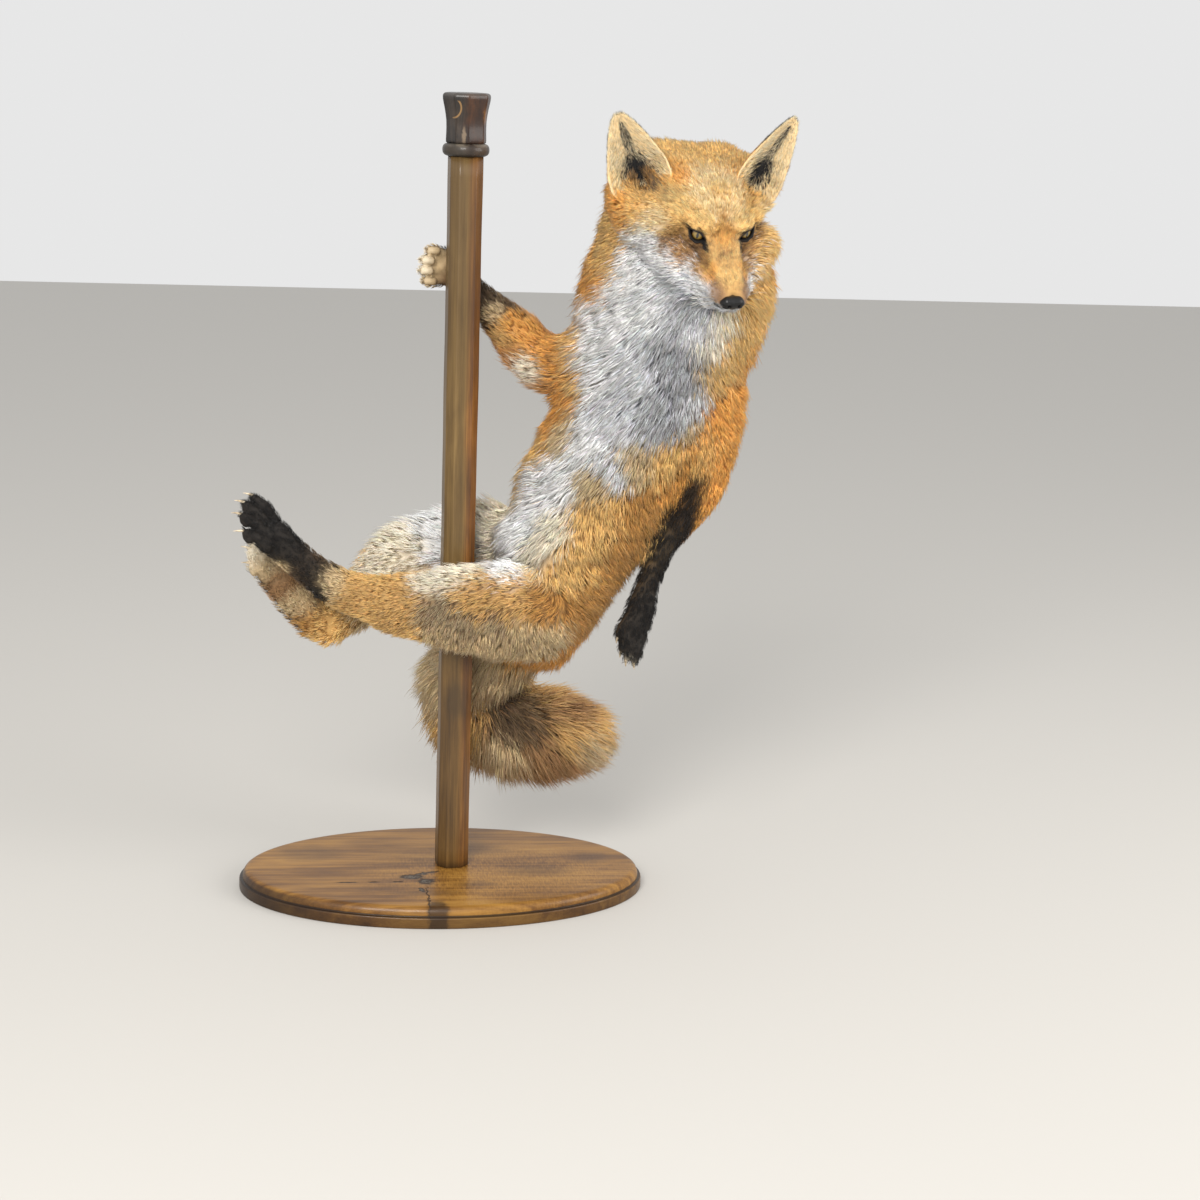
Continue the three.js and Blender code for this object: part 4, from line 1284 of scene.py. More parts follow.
# the ears' own looks: where a place lies on an ear, and what colour it is there
def earPlace(ear, places):
    # from root to tip, and from rim to rim
    off = places - ear.root
    along = off @ ear.rise / (ear.rise @ ear.rise)
    stops, shares = zip(*earValues["outline"])
    half = np.interp(along, stops, shares) * ear.values["width"] * mm
    return along, (off @ ear.across) / np.maximum(half, 1 * mm)


def onEar(ear, places):
    along, across = earPlace(ear, places)
    sheet = ear.sheet(np.clip(along, -0.1, 1), np.clip(across, -1, 1))
    return (along > 0.10) & (np.linalg.norm(places - sheet, axis=1) < 5.5 * mm)


def dressEars(places, normals, lies, lengths, stops, chance):
    # pale inside with a dark hollow, and a back that turns black; chance is one number for each place
    for ear in ears.values():
        here = np.flatnonzero(onEar(ear, places))
        if not len(here):
            continue
        along, across = earPlace(ear, places[here])
        draw = chance[here]
        inside = (normals[here] @ ear.front > 0.05) & (np.abs(across) < 1.02)
        hollow = np.exp(-((along - 0.30) / 0.20) ** 2 - (across / 0.50) ** 2)
        hollow = hollow + 0.55 * np.exp(-((along - 0.76) / 0.18) ** 2 - (across / 0.30) ** 2)
        back = np.where(draw + along > 0.75, "brown", "orange")
        back = np.where(along + 0.25 * draw > 0.62, "black", back)
        inner = np.where((np.abs(across) > 0.80) | (draw < 0.6), "paleGold", "tan")
        inner = np.where(draw < 1.25 * hollow, "black", inner)
        stops[here] = np.stack([hairColours[name] for name in np.where(inside, inner, back)])
        outwards = np.where(inside, -0.75 * np.sign(across) * (1 - along), 0)
        lies[here] = unit(unit(ear.rise) + outwards[:, None] * ear.across)
        fringe = 5.0 + 5 * (1 - np.clip(along, 0, 1)) * (np.abs(across) < 0.95)
        lengths[here] = np.where(inside, fringe, 6.0 - 2 * along) * mm


def eyeDistance(places):
    away = []
    for eye in eyes.values():
        ball = np.linalg.norm(places - eye.middle, axis=1) / mm
        away.append(eye.opening()(places) / mm + 0.5 * np.maximum(0, ball - 13))
    return np.min(away, axis=0)


noseMiddle = inHead(*faceValues["noseSeat"])


def isBare(places, normals):
    # the lids' edges, the seat of the nose and the soles
    bare = eyeDistance(places) < 0.9
    off = (places - noseMiddle) @ headTurn.T / mm / (12.5, 9.0, 9.5)
    bare |= np.linalg.norm(off, axis=1) < 1.05
    for foot in feet.values():
        near = np.linalg.norm(places - foot.tips, axis=1) < 34 * mm
        bare |= near & (normals @ foot.sole > 0.55)
    return bare


def looksAt(places, normals):
    lies, lengths, colours = [], [], []
    for part in np.array_split(np.arange(len(places)), max(1, len(places) // 6000)):
        weights = lookWeights(places[part])
        lies.append(weights @ allLies)
        lengths.append(weights @ allLengths)
        colours.append(np.einsum("nm,mkc->nkc", weights, allStops))
    lies, lengths, colours = (np.concatenate(part) for part in (lies, lengths, colours))
    dressEars(places, normals, lies, lengths, colours, np.full(len(places), 0.3))
    return lies, lengths, colours


skinCo, skinTriangles = cornersOf(skinShape)
skinCo = skinCo.astype(float)
skinNormals = np.empty(len(skinCo) * 3, np.float32)
skinShape.vertices.foreach_get("normal", skinNormals)
skinNormals = skinNormals.reshape(-1, 3).astype(float)
skinLies, skinLengths, skinStops = looksAt(skinCo, skinNormals)
skinBlack = blackShare(skinCo)
skinBare = isBare(skinCo, skinNormals)
skinZones = zoneShares(skinCo)
skinDistance = distanceField(skinCo, skinTriangles, 2.5 * mm, 20 * mm, skinLow - 0.06, skinHigh + 0.06)[0]
note("looks spread over the skin")


# the unwrap that every coat's colours are kept on: each zone turned about its own middle line
bodyLines = {
    "neck": ((250, 6, 780), (250, 6, 700), (245, 12, 620)),
    "trunk": ((245, 14, 660), (215, 28, 590), (185, 31, 500), (150, 30, 400), (112, 20, 300),
              (102, 18, 260)),
}


def zoneLine(name):
    if name == "head":
        return np.array([inHead(0, *at) for at in ((-100, 0), (-40, 0), (20, -15), (86, -32))])
    return np.array(bodyLines[name] if name in bodyLines else limbs[name]["line"]) * mm


def unwrapped(places, zones):
    # a cylinder about each zone's line, in its own tile of the map
    result = np.zeros((len(places), 2))
    for index, name in enumerate(zoneNames):
        here = np.flatnonzero(zones == index)
        if not len(here):
            continue
        line = zoneLine(name)
        lengths = np.linalg.norm(np.diff(line, axis=0), axis=1)
        runs = np.concatenate([[0], np.cumsum(lengths)]) / lengths.sum()
        best, along, off = np.full(len(here), 9.0), np.zeros(len(here)), np.zeros((len(here), 3))
        for start, end, low, high in zip(line, line[1:], runs, runs[1:]):
            way = end - start
            share = np.clip((places[here] - start) @ way / (way @ way), 0, 1)
            away = places[here] - start - share[:, None] * way
            distance = np.linalg.norm(away, axis=1)
            closer = distance < best
            best[closer] = distance[closer]
            along[closer] = mix(low, high, share)[closer]
            off[closer] = away[closer]
        run = unit(line[-1] - line[0])
        first = unit(np.cross(run, (0.3, 0.9, 0.31)))
        angle = np.arctan2(off @ np.cross(run, first), off @ first) / tau + 0.5
        column, row = index % 3 + 0.03, index // 3 + 0.03
        result[here] = np.stack([(column + 0.92 * angle) / 3, (row + 0.92 * along) / 3], -1)
    return result


poleValues = {"axis": (11, 7.5), "keepOff": 19.5, "keepOffTop": 0.83}

coatDefaults = {
    "strands": 5,      # in each clump
    "bend": True,      # long strands bend at their middle, and short ones are plain spikes
    "gather": 0.20,    # how far a clump's tips lean together
    "even": 0.40,      # how far a strand takes the mean of the looks around it
    "shade": 0.10,     # how much single strands differ in brightness
    "mottle": 0.16,    # how much patches of the coat do
    "patch": 12,       # how wide those patches are
}
strandValues = {
    "turn": 0.16,                  # how far the clumps turn from the lie of the coat
    "scatter": 1.3,                # a clump's reach, over its spread
    "flat": 0.9,                   # how much of a lie's rise off the skin is taken away
    "clumpLengths": 0.10,          # how much the clumps differ in length
    "lengthShares": (0.72, 0.42),  # a strand's least length, and what chance adds
    "eyeShares": (0.35, 0.65),     # the same beside the eye, and what distance adds
    "eyeReach": (1.0, 9.0),
    "rootSway": (0.18, 0.10),      # how the lift and the way of the lower half differ
    "tipSway": (0.25, 0.16),       # the same for the upper half
    "droop": (40, 0.16),           # the length that droops in full, and by how much
    "halves": (0.48, 0.52),        # of the length, below and above the middle
    "middleGather": 0.35,          # how much of the tip's gathering the middle has
    "middleClear": (0.10, 3.0),    # off the skin, as a share of the length, and at most
    "tipClear": (0.13, 4.5),
    "tint": 0.03,                  # how much single strands differ in hue
    "darkest": 0.004,
    "patchSide": 0.003,            # of a strand's corner of the OFBake map
    "contrast": 1.5,               # how sharply the nearest looks win
    "drawShares": (0.70, 0.30),    # of the strand's own draw and of its clump's
    "thin": (12, 0.45, 1.15),      # the length with the full width, and the limits
    "widthShares": (0.7, 0.6),     # a strand's least width, and what chance adds
    "roll": 0.5,
    "rootDepth": 0.8,              # millimetres that the roots reach into the skin
    "section": ((-0.5, -0.2), (0.5, -0.2), (0.0, 0.34)),
}
# length picks the roots whose hair is that long, spread scatters a clump's roots, width is a strand's own,
# and lift is how steep a strand stands at its root and at its tip, in degrees
coatPieces = {
    "coat_face": {"zones": ("head",), "length": (0, 8.2), "clumps": 11900, "strands": 4, "spread": 1.0,
                  "width": 0.55, "bend": False, "lift": (24, 14), "gather": 0.10, "shade": 0.38,
                  "even": 0.1, "mottle": 0.8, "patch": 3.2, "seed": 11, "slot": "fur_orange"},
    "coat_brow": {"zones": ("head",), "length": (8.2, 13), "clumps": 4300, "spread": 1.8, "width": 0.58,
                  "lift": (32, 15), "gather": 0.22, "shade": 0.18, "mottle": 0.4, "patch": 5, "seed": 20,
                  "slot": "fur_orange"},
    "coat_head": {"zones": ("head",), "length": (13, 99), "clumps": 4200, "strands": 6, "spread": 2.4,
                  "width": 0.66, "lift": (36, 18), "gather": 0.26, "shade": 0.15, "seed": 12,
                  "slot": "fur_orange"},
    "coat_ruff": {"zones": ("neck",), "clumps": 4700, "strands": 7, "spread": 3.4, "width": 0.80,
                  "lift": (40, 21), "seed": 13, "slot": "fur_grey"},
    "coat_belly": {"zones": ("trunk",), "side": -1, "clumps": 4700, "strands": 7, "spread": 3.2,
                   "width": 0.76, "lift": (38, 17), "seed": 14, "slot": "fur_cream"},
    "coat_back": {"zones": ("trunk",), "side": 1, "clumps": 2700, "strands": 6, "spread": 3.6,
                  "width": 1.15, "lift": (38, 18), "seed": 15, "slot": "fur_orange"},
    "coat_forelegs": {"zones": ("forelegRight", "forelegLeft"), "clumps": 4600, "spread": 1.7,
                      "width": 0.64, "lift": (32, 15), "gather": 0.22, "seed": 16, "slot": "fur_orange"},
    "coat_hindleg_left": {"zones": ("hindlegLeft",), "clumps": 5200, "spread": 2.2, "width": 0.70,
                          "lift": (36, 15), "gather": 0.26, "seed": 17, "slot": "fur_orange"},
    "coat_hindleg_right": {"zones": ("hindlegRight",), "clumps": 3200, "spread": 2.6, "width": 0.80,
                           "lift": (44, 22), "seed": 18, "slot": "fur_cream"},
    "coat_tail": {"zones": ("tail",), "clumps": 4200, "strands": 6, "spread": 3.6, "width": 0.90,
                  "lift": (48, 26), "gather": 0.34, "seed": 19, "slot": "fur_brown"},
}


def pickRoots(values, chance):
    # places on the skin, evenly by area, in this piece's zones
    corners = skinCo[skinTriangles]
    size = np.cross(corners[:, 1] - corners[:, 0], corners[:, 2] - corners[:, 0])
    size = np.linalg.norm(size, axis=1) / 2
    shares = skinZones[skinTriangles].mean(1)
    inZone = sum(shares[:, zoneNames.index(name)] for name in values["zones"]) > 0.5
    length = skinLengths[skinTriangles].mean(1) / mm
    if "length" in values:
        low, high = values["length"]
        inZone &= (length >= low) & (length < high)
    if "side" in values:
        middle = skinCo[skinTriangles].mean(1)
        line = zoneLine("trunk")
        depth = np.interp(middle[:, 2], line[::-1, 2], line[::-1, 1]) + 12 * mm
        inZone &= (middle[:, 1] > depth) == (values["side"] > 0)
    inZone &= skinBare[skinTriangles].mean(1) < 0.5
    weight = size * inZone / np.sqrt(np.maximum(length, 3))
    chosen = chance.choice(len(size), values["clumps"], p=weight / weight.sum())
    a, b = chance.random((2, len(chosen)))
    over = a + b > 1
    a[over], b[over] = 1 - a[over], 1 - b[over]
    shares = np.stack([1 - a - b, a, b], -1)
    at = skinTriangles[chosen]

    def blend(values):
        return np.einsum("nk,nk...->n...", shares, values[at])
    return blend(skinCo), unit(blend(skinNormals)), blend(skinLies), blend(skinLengths)


def strandColours(values, places, chance):
    # each strand draws its look from those about its clump, then takes a share of their mean
    clumps, strands = len(places), values["strands"]
    weights = np.concatenate([lookWeights(part) for part in np.array_split(places, 8)])
    weights = weights ** strandValues["contrast"]
    sums = np.cumsum(weights, 1)
    own, shared = strandValues["drawShares"]
    draw = chance.random((clumps, strands)) * own + chance.random((clumps, 1)) * shared
    look = (draw[:, :, None] * sums[:, None, -1:] > sums[:, None, :]).sum(-1)
    stops = allStops[np.minimum(look, len(allLies) - 1)]
    average = np.einsum("nm,mkc->nkc", weights / sums[:, -1:], allStops)
    stops = mix(stops, average[:, None], values["even"]).reshape(-1, 3, 3)
    patches = np.array([noise.noise(Vector(at / (values["patch"] * mm))) for at in places])
    return stops * (1 + values["mottle"] * np.repeat(patches, strands))[:, None, None]


def strandMesh(values, roots, middle, tip, normals, lengths, chance):
    # a closed, flattened, three-sided spindle for each long strand and a spike for each short one
    count = len(roots)
    fullLength, thinnest, thickest = strandValues["thin"]
    thin = np.clip(lengths / (fullLength * mm), thinnest, thickest)
    least, added = strandValues["widthShares"]
    width = values["width"] * mm * thin * (least + added * chance.random(count))
    along = unit(tip - roots)
    over = unit(np.cross(along, normals))
    roll = chance.normal(0, strandValues["roll"], count)[:, None]
    over = over * np.cos(roll) + np.cross(along, over) * np.sin(roll)
    up = np.cross(over, along)
    base = roots - normals * (strandValues["rootDepth"] * mm)
    ringAt = middle if values["bend"] else base
    ring = [ringAt + (over * x + up * y) * width[:, None] for x, y in strandValues["section"]]
    if values["bend"]:
        points = np.stack([base, *ring, tip], 1)
        faces = [(0, 2, 1), (0, 3, 2), (0, 1, 3), (1, 2, 4), (2, 3, 4), (3, 1, 4)]
        level = [0, 1, 1, 1, 2]
        patch = np.array([(0, 0.1), (0.1, 0.9), (0.9, 0.9), (0.5, 0.2), (1, 0)])
    else:
        points = np.stack([*ring, tip], 1)
        faces = [(0, 2, 1), (0, 1, 3), (1, 2, 3), (2, 0, 3)]
        level = [0, 0, 0, 2]
        patch = np.array([(0, 0), (1, 0), (0.5, 0.5), (0.5, 1.0)])
    starts = np.arange(count)[:, None, None] * points.shape[1]
    triangles = (np.array(faces)[None] + starts).reshape(-1, 3)
    return points.reshape(-1, 3), triangles, level, patch


def growCoat(name, values):
    chance = np.random.default_rng(values["seed"])
    places, normals, lies, lengths = pickRoots(values, chance)
    clumps, strands = len(places), values["strands"]
    stops = strandColours(values, places, chance)

    # the strands' roots, scattered about their clump's
    lies = unit(lies - dots(lies, normals)[:, None] * normals)
    side = np.cross(normals, lies)
    lies = unit(lies + side * chance.normal(0, strandValues["turn"], clumps)[:, None])
    side = np.cross(normals, lies)
    spread = values["spread"] * mm * np.sqrt(chance.random((clumps, strands))) * strandValues["scatter"]
    angle = tau * chance.random((clumps, strands))
    roots = (places[:, None] + lies[:, None] * (spread * np.cos(angle))[..., None]
             + side[:, None] * (spread * np.sin(angle))[..., None]).reshape(-1, 3)

    def each(values):
        return np.repeat(values, strands, axis=0)
    normals, lies, side, lengths = (each(part) for part in (normals, lies, side, lengths))
    thinPart = np.any([onEar(ear, roots) for ear in ears.values()], axis=0)
    roots -= normals * (skinDistance.read(roots) * ~thinPart)[:, None]
    dressEars(roots, normals, lies, lengths, stops, chance.random(len(roots)))
    lies = unit(lies - dots(lies, normals)[:, None] * normals * strandValues["flat"])
    least, added = strandValues["lengthShares"]
    lengths = lengths * each(chance.normal(1, strandValues["clumpLengths"], clumps)) * (
        least + added * chance.random(len(roots)))
    least, added = strandValues["eyeShares"]
    lengths *= least + added * smoothStep(*strandValues["eyeReach"], eyeDistance(roots))
    kept = ~isBare(roots, normals)

    # each strand starts steeper and lies down, and its tip leans to its clump's
    jitter = chance.normal(0, 1, (len(roots), 3))

    def leaning(degrees, wander, sway, stray):
        lift = np.radians(degrees) * (1 + wander * jitter[:, 0])
        return unit(lies * np.cos(lift)[:, None] + normals * np.sin(lift)[:, None] + side * sway * stray)
    start = leaning(values["lift"][0], *strandValues["rootSway"], jitter[:, [1]])
    end = leaning(values["lift"][1], *strandValues["tipSway"], jitter[:, [2]])
    longest, droop = strandValues["droop"]
    drop = np.clip(lengths / (longest * mm), 0, 1) * droop
    end = unit(end - drop[:, None] * np.array([0, 0, 1]))
    lower, upper = strandValues["halves"]
    middle = roots + start * (lengths * lower)[:, None]
    tip = middle + end * (lengths * upper)[:, None]

    def gathered(points, share):
        return mix(points, each(points.reshape(clumps, strands, 3).mean(1)), share)
    tip = gathered(tip, values["gather"])
    middle = gathered(middle, values["gather"] * strandValues["middleGather"])

    def keptOut(points, share, most):
        clear = np.minimum(share * lengths, most * mm)
        short = np.maximum(0, clear - skinDistance.read(points)) * ~thinPart
        return points + skinDistance.slope(points) * short[:, None]
    middle = keptOut(middle, *strandValues["middleClear"])
    tip = keptOut(tip, *strandValues["tipClear"])
    for points in (middle, tip):     # off the pole
        off = points[:, :2] - np.array(poleValues["axis"]) * mm
        away = np.linalg.norm(off, axis=1, keepdims=True)
        below = points[:, [2]] < poleValues["keepOffTop"]
        inside = np.maximum(0, poleValues["keepOff"] * mm - away) * below
        points[:, :2] += off / np.maximum(away, 1e-6) * inside

    strandParts = (roots, middle, tip, normals, lengths, stops)
    roots, middle, tip, normals, lengths, stops = (part[kept] for part in strandParts)
    points, triangles, level, patch = strandMesh(values, roots, middle, tip, normals, lengths, chance)
    stops = mix(stops, hairColours["black"][None], blackShare(roots)[:, None, None])
    shade = 1 + values["shade"] * chance.normal(0, 1, (len(roots), 1, 1))
    shade = shade * (1 + strandValues["tint"] * chance.normal(0, 1, (len(roots), 1, 3)))
    stops = np.clip(stops * shade, strandValues["darkest"], 1)
    mesh = makeMesh(name, points, triangles)
    setColours(mesh, "coatColour", stops[:, level].reshape(-1, 3))
    spots = unwrapped(roots, zoneShares(roots).argmax(1))
    corners = spots[:, None] + (patch[None] - 0.5) * strandValues["patchSide"]
    uv = mesh.uv_layers.new(name="OFBake")
    uv.data.foreach_set("uv", corners.reshape(-1, 2)[triangles.ravel()].astype(np.float32).ravel())
    note(f"{name}: {len(roots)} strands, {len(triangles)} triangles")
    return mesh


# finishes of the skin and the coat
def coatFinish():
    finish = Finish("coatFinish", Roughness=0.62, Specular_IOR_Level=0.22, Sheen_Weight=0.06,
                    Sheen_Roughness=0.45)
    colour = finish.attribute("coatColour")
    mottle = finish.span(finish.noise(finish.own(), 38, 3, 0.6), 0.32, 0.68, 0.90, 1.08)
    grey = finish.add("ShaderNodeCombineColor", inputs={"Red": mottle, "Green": mottle, "Blue": mottle})
    finish.feed(Base_Color=finish.blend(1.0, colour, grey, "MULTIPLY"))
    return finish.material


def skinFinish():
    finish = Finish("skinFinish", Roughness=0.7, Specular_IOR_Level=0.25)
    colour = finish.attribute("coatColour")
    nap = finish.noise(finish.own(), 900, 4, 0.6)
    share = finish.span(nap, 0.35, 0.65, 0.0, 0.12)
    finish.feed(Base_Color=finish.blend(share, colour, (0.05, 0.04, 0.035)))
    finish.feed(Normal=finish.bump(nap, 0.5, 0.0006))
    return finish.material


skin = makeObject("skin", skinShape, skinFinish())
# the skin is a little darker than the hair over it: partly the roots' colour, partly painted shade beneath
# the coat
skinColours = skinStops[:, 0] * 0.35 + skinStops[:, 1] * 0.65
skinColours = mix(skinColours, hairColours["black"][1], skinBlack[:, None]) * 0.97
setColours(skinShape, "coatColour", skinColours)
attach(skin, "root")
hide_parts(*[name for names in fleshNodes.values() for name in names])

coatMaterial = coatFinish()
for name, values in coatPieces.items():
    coat = makeObject(name, growCoat(name, {**coatDefaults, **values}), coatMaterial)
    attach(coat, "root")


# geometry nodes: a tree with named sizes, evaluated once into a plain mesh
class NodeTree:
    def __init__(self, name, **sizes):
        self.group = bpy.data.node_groups.new(name, "GeometryNodeTree")
        self.nodes, self.links, self.sizes = self.group.nodes, self.group.links, sizes
        face = self.group.interface
        face.new_socket("Geometry", in_out="INPUT", socket_type="NodeSocketGeometry")
        face.new_socket("Geometry", in_out="OUTPUT", socket_type="NodeSocketGeometry")
        for size, value in sizes.items():
            kind = "NodeSocketInt" if isinstance(value, int) else "NodeSocketFloat"
            face.new_socket(size, in_out="INPUT", socket_type=kind)
        self.given = self.nodes.new("NodeGroupInput").outputs
        self.result = self.nodes.new("NodeGroupOutput").inputs["Geometry"]

    def add(self, kind, settings=None, inputs=None, output=0):
        node = self.nodes.new(kind)
        for name, value in (settings or {}).items():
            setattr(node, name, value)
        for name, value in (inputs or {}).items():
            for part in value if isinstance(value, list) else [value]:
                if isinstance(part, bpy.types.NodeSocket):
                    self.links.new(part, node.inputs[name])
                else:
                    node.inputs[name].default_value = part
        return node.outputs[output]

    def made(self, name, shape, host, material):
        # host is the mesh that the tree starts from
        real = self.add("GeometryNodeRealizeInstances", inputs={"Geometry": shape})
        real = self.add("GeometryNodeSetMaterial", inputs={"Geometry": real, "Material": material})
        self.links.new(real, self.result)
        piece = makeObject(name + "Host", host)
        modifier = piece.modifiers.new("tree", "NODES")
        modifier.node_group = self.group
        for item in self.group.interface.items_tree:
            if item.in_out == "INPUT" and item.name in self.sizes:
                modifier[item.identifier] = self.sizes[item.name]
        evaluated = piece.evaluated_get(bpy.context.evaluated_depsgraph_get())
        mesh = bpy.data.meshes.new_from_object(evaluated)
        mesh.name = name
        piece.modifiers.remove(modifier)
        bpy.data.objects.remove(piece)
        mesh.polygons.foreach_set("use_smooth", np.ones(len(mesh.polygons), bool))
        return facedOut(mesh)


def facedOut(mesh):
    # turns a closed mesh's faces outwards
    places, corners = cornersOf(mesh)
    a, b, c = (places[corners[:, i]].astype(float) for i in range(3))
    if (np.cross(a, b) * c).sum() < 0:
        mesh.flip_normals()
    return mesh


def makeLines(name, lines, numbers=None):
    # edges that a tree turns into curves, with a thickness at each point
    edges, start = [], 0
    for line in lines:
        edges += [(start + i, start + i + 1) for i in range(len(line) - 1)]
        start += len(line)
    mesh = bpy.data.meshes.new(name)
    mesh.from_pydata([tuple(at) for at in np.concatenate(lines).tolist()], edges, [])
    if numbers is not None:
        setNumbers(mesh, "thickness", numbers)
    return mesh


def fitPiece(name, mesh, slot, *nodes):
    piece = makeObject(name, mesh)
    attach(piece, "root")
    if nodes:
        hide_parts(*nodes)


# the stand: an oval board with a rounded lip and a small step, a chamfered pole, a ring and a flared finial
baseValues = {
    "length": 456,
    "width": 268,
    "sides": 224,
    "flat": 26,       # from the lip to where the board's top is filled in
    "under": 6,       # the same for its underside
    "profile": ((-26, 23), (-13, 23), (-11, 22.95), (-9.3, 22.6), (-7.7, 21.9), (-6.3, 20.8), (-5.1, 19.2),
                (-4.3, 17.4), (-3.9, 15.6), (-3.7, 14.2), (-3.75, 13.4), (-3.5, 12.9), (-2.6, 12.7),
                (-1.4, 12.6), (-0.6, 12.3), (-0.15, 11.6), (0, 10.6), (0, 6), (0, 1.8), (-0.3, 0.7),
                (-1.0, 0.1), (-2.2, 0), (-6, 0)),
}
poleShape = {"low": 23.3, "high": 816, "half": 17.5, "chamfer": 0.48, "ease": 0.9, "turn": 7}
collarValues = {"low": 816.3, "high": 829.3, "reach": 24.9, "round": 5.2, "neck": 20.5, "around": 72}
finialValues = {
    "low": 829.6, "chamfer": 0.50, "ease": 1.3, "turn": 29,
    "sides": ((0, 18.2), (0.7, 19.2), (3, 19.4), (9, 19.2), (16, 19.1), (23, 19.3), (30, 20.1), (36, 21.1),
              (41, 22.1), (45, 22.8), (47.5, 23.0), (49.3, 22.8), (50.6, 22.1), (51.5, 20.9), (51.9, 19.2),
              (52, 17.0), (52, 10.0)),
}


def baseMesh(values, material):
    profile = [(out * mm, -height * mm, 0) for out, height in values["profile"]]
    host = makeLines("baseProfile", [np.array(profile)])
    tree = NodeTree("ovalBoard", Length=values["length"] * mm, Width=values["width"] * mm,
                    Sides=values["sides"], Flat=-values["flat"] * mm, Under=-values["under"] * mm,
                    Height=profile[0][1] * -1)
    size = tree.given
    circle = tree.add("GeometryNodeCurvePrimitiveCircle", inputs={"Resolution": size["Sides"], "Radius": 0.5})
    scale = tree.add("ShaderNodeCombineXYZ", inputs={"X": size["Length"], "Y": size["Width"], "Z": 1.0})
    oval = tree.add("GeometryNodeTransform", inputs={"Geometry": circle, "Scale": scale})
    oval = tree.add("GeometryNodeSetCurveNormal", {"mode": "Z_UP"}, {"Curve": oval})
    profile = tree.add("GeometryNodeMeshToCurve", inputs={"Mesh": size["Geometry"]})
    parts = [tree.add("GeometryNodeCurveToMesh", inputs={"Curve": oval, "Profile Curve": profile})]
    normal = tree.add("GeometryNodeInputNormal")
    for inset, height in (("Flat", size["Height"]), ("Under", 0.0)):
        offset = tree.add("ShaderNodeVectorMath", {"operation": "SCALE"}, {0: normal, "Scale": size[inset]})
        ring = tree.add("GeometryNodeSetPosition", inputs={"Geometry": oval, "Offset": offset})
        face = tree.add("GeometryNodeFillCurve", {"mode": "NGONS"}, {"Curve": ring})
        lift = tree.add("ShaderNodeCombineXYZ", inputs={"Z": height})
        face = tree.add("GeometryNodeTransform", inputs={"Geometry": face, "Translation": lift})
        if inset == "Under":
            face = tree.add("GeometryNodeFlipFaces", inputs={"Mesh": face})
        parts.append(face)
    whole = tree.add("GeometryNodeJoinGeometry", inputs={"Geometry": parts})
    whole = tree.add("GeometryNodeMergeByDistance", inputs={"Geometry": whole, "Distance": 0.03 * mm})
    return tree.made("base_board", whole, host, material)


def octagonRing(half, chamfer, ease, turn, height):
    # eight corners, each eased over by a few points
    away = 1 - chamfer
    corners = np.array([(1, -away), (1, away), (away, 1), (-away, 1), (-1, away), (-1, -away), (-away, -1),
                        (away, -1)]) * half
    ring = []
    for before, corner, after in zip(np.roll(corners, 1, 0), corners, np.roll(corners, -1, 0)):
        back, on = unit(before - corner) * ease, unit(after - corner) * ease
        ring += [corner + back * 2, corner + back, corner + (back + on) * 0.25, corner + on, corner + on * 2]
    ring = np.array(ring)
    c, s = math.cos(math.radians(turn)), math.sin(math.radians(turn))
    ring = ring @ np.array([(c, s), (-s, c)]) + poleValues["axis"]
    return np.column_stack([ring, np.full(len(ring), height)]) * mm


def stacked(name, rings, material):
    # rings of one length from the bottom up, closed at both ends
    count = len(rings[0])
    places = np.concatenate([*rings, [rings[0].mean(0)], [rings[-1].mean(0)]])
    faces = []
    for level in range(len(rings) - 1):
        for i in range(count):
            j = (i + 1) % count
            low, high = level * count, (level + 1) * count
            faces.append((low + i, low + j, high + j, high + i))
    low, high, last = len(places) - 2, len(places) - 1, (len(rings) - 1) * count
    for i in range(count):
        j = (i + 1) % count
        faces += [(low, j, i), (high, last + i, last + j)]
    mesh = makeMesh(name, places, faces)
    mesh.materials.append(material)
    return facedOut(mesh)


def poleMesh(values, material):
    low, high, half = values["low"], values["high"], values["half"]
    levels = [(low, half - 0.5), (low + 0.5, half), *((z, half) for z in range(45, 810, 15)), (high, half)]
    # planed by hand, so its width wanders by a tenth of a millimetre or two
    rings = [octagonRing(width + 0.12 * math.sin(z / 41) + 0.10 * math.sin(z / 17.3), values["chamfer"],
                         values["ease"], values["turn"], z) for z, width in levels]
    return stacked("pole_post", rings, material)


def collarMesh(values, material):
    # half a round from the under side to the top, then turned about the axis
    middle, tall = (values["low"] + values["high"]) / 2, (values["high"] - values["low"]) / 2
    outline = [(values["neck"] * share, -tall) for share in (0.5, 0.96, 1.0)]
    for i in range(13):
        angle = (i / 12 - 0.5) * math.pi
        outline.append((values["reach"] - values["round"] * (1 - math.cos(angle)) ** 1.15,
                        tall * 0.985 * math.sin(angle)))
    outline += [(values["neck"] * share, tall) for share in (1.0, 0.96, 0.5)]
    around = values["around"]
    turns = np.arange(around) / around * tau
    wobble = 1 + 0.004 * np.sin(3 * turns + 1) + 0.003 * np.sin(7 * turns)
    rings = []
    for reach, height in outline:
        x, y = np.cos(turns) * reach * wobble, np.sin(turns) * reach * wobble
        rings.append(np.column_stack([x, y, np.full(around, middle + height)]) * mm
                     + np.array([*poleValues["axis"], 0]) * mm)
    return stacked("collar_ring", rings, material)


def finialMesh(values, material):
    rings = [octagonRing(half, values["chamfer"], values["ease"], values["turn"], values["low"] + z)
             for z, half in values["sides"]]
    return stacked("finial_block", rings, material)


# finishes of the stand
def aboutPole(finish, turn=0):
    # places measured from the pole's axis, turned with its faces
    axis = (*(at * mm for at in poleValues["axis"]), 0)
    inputs = {"Vector": finish.own(), "Location": axis, "Rotation": (0, 0, math.radians(turn))}
    return finish.add("ShaderNodeMapping", {"vector_type": "TEXTURE"}, inputs)


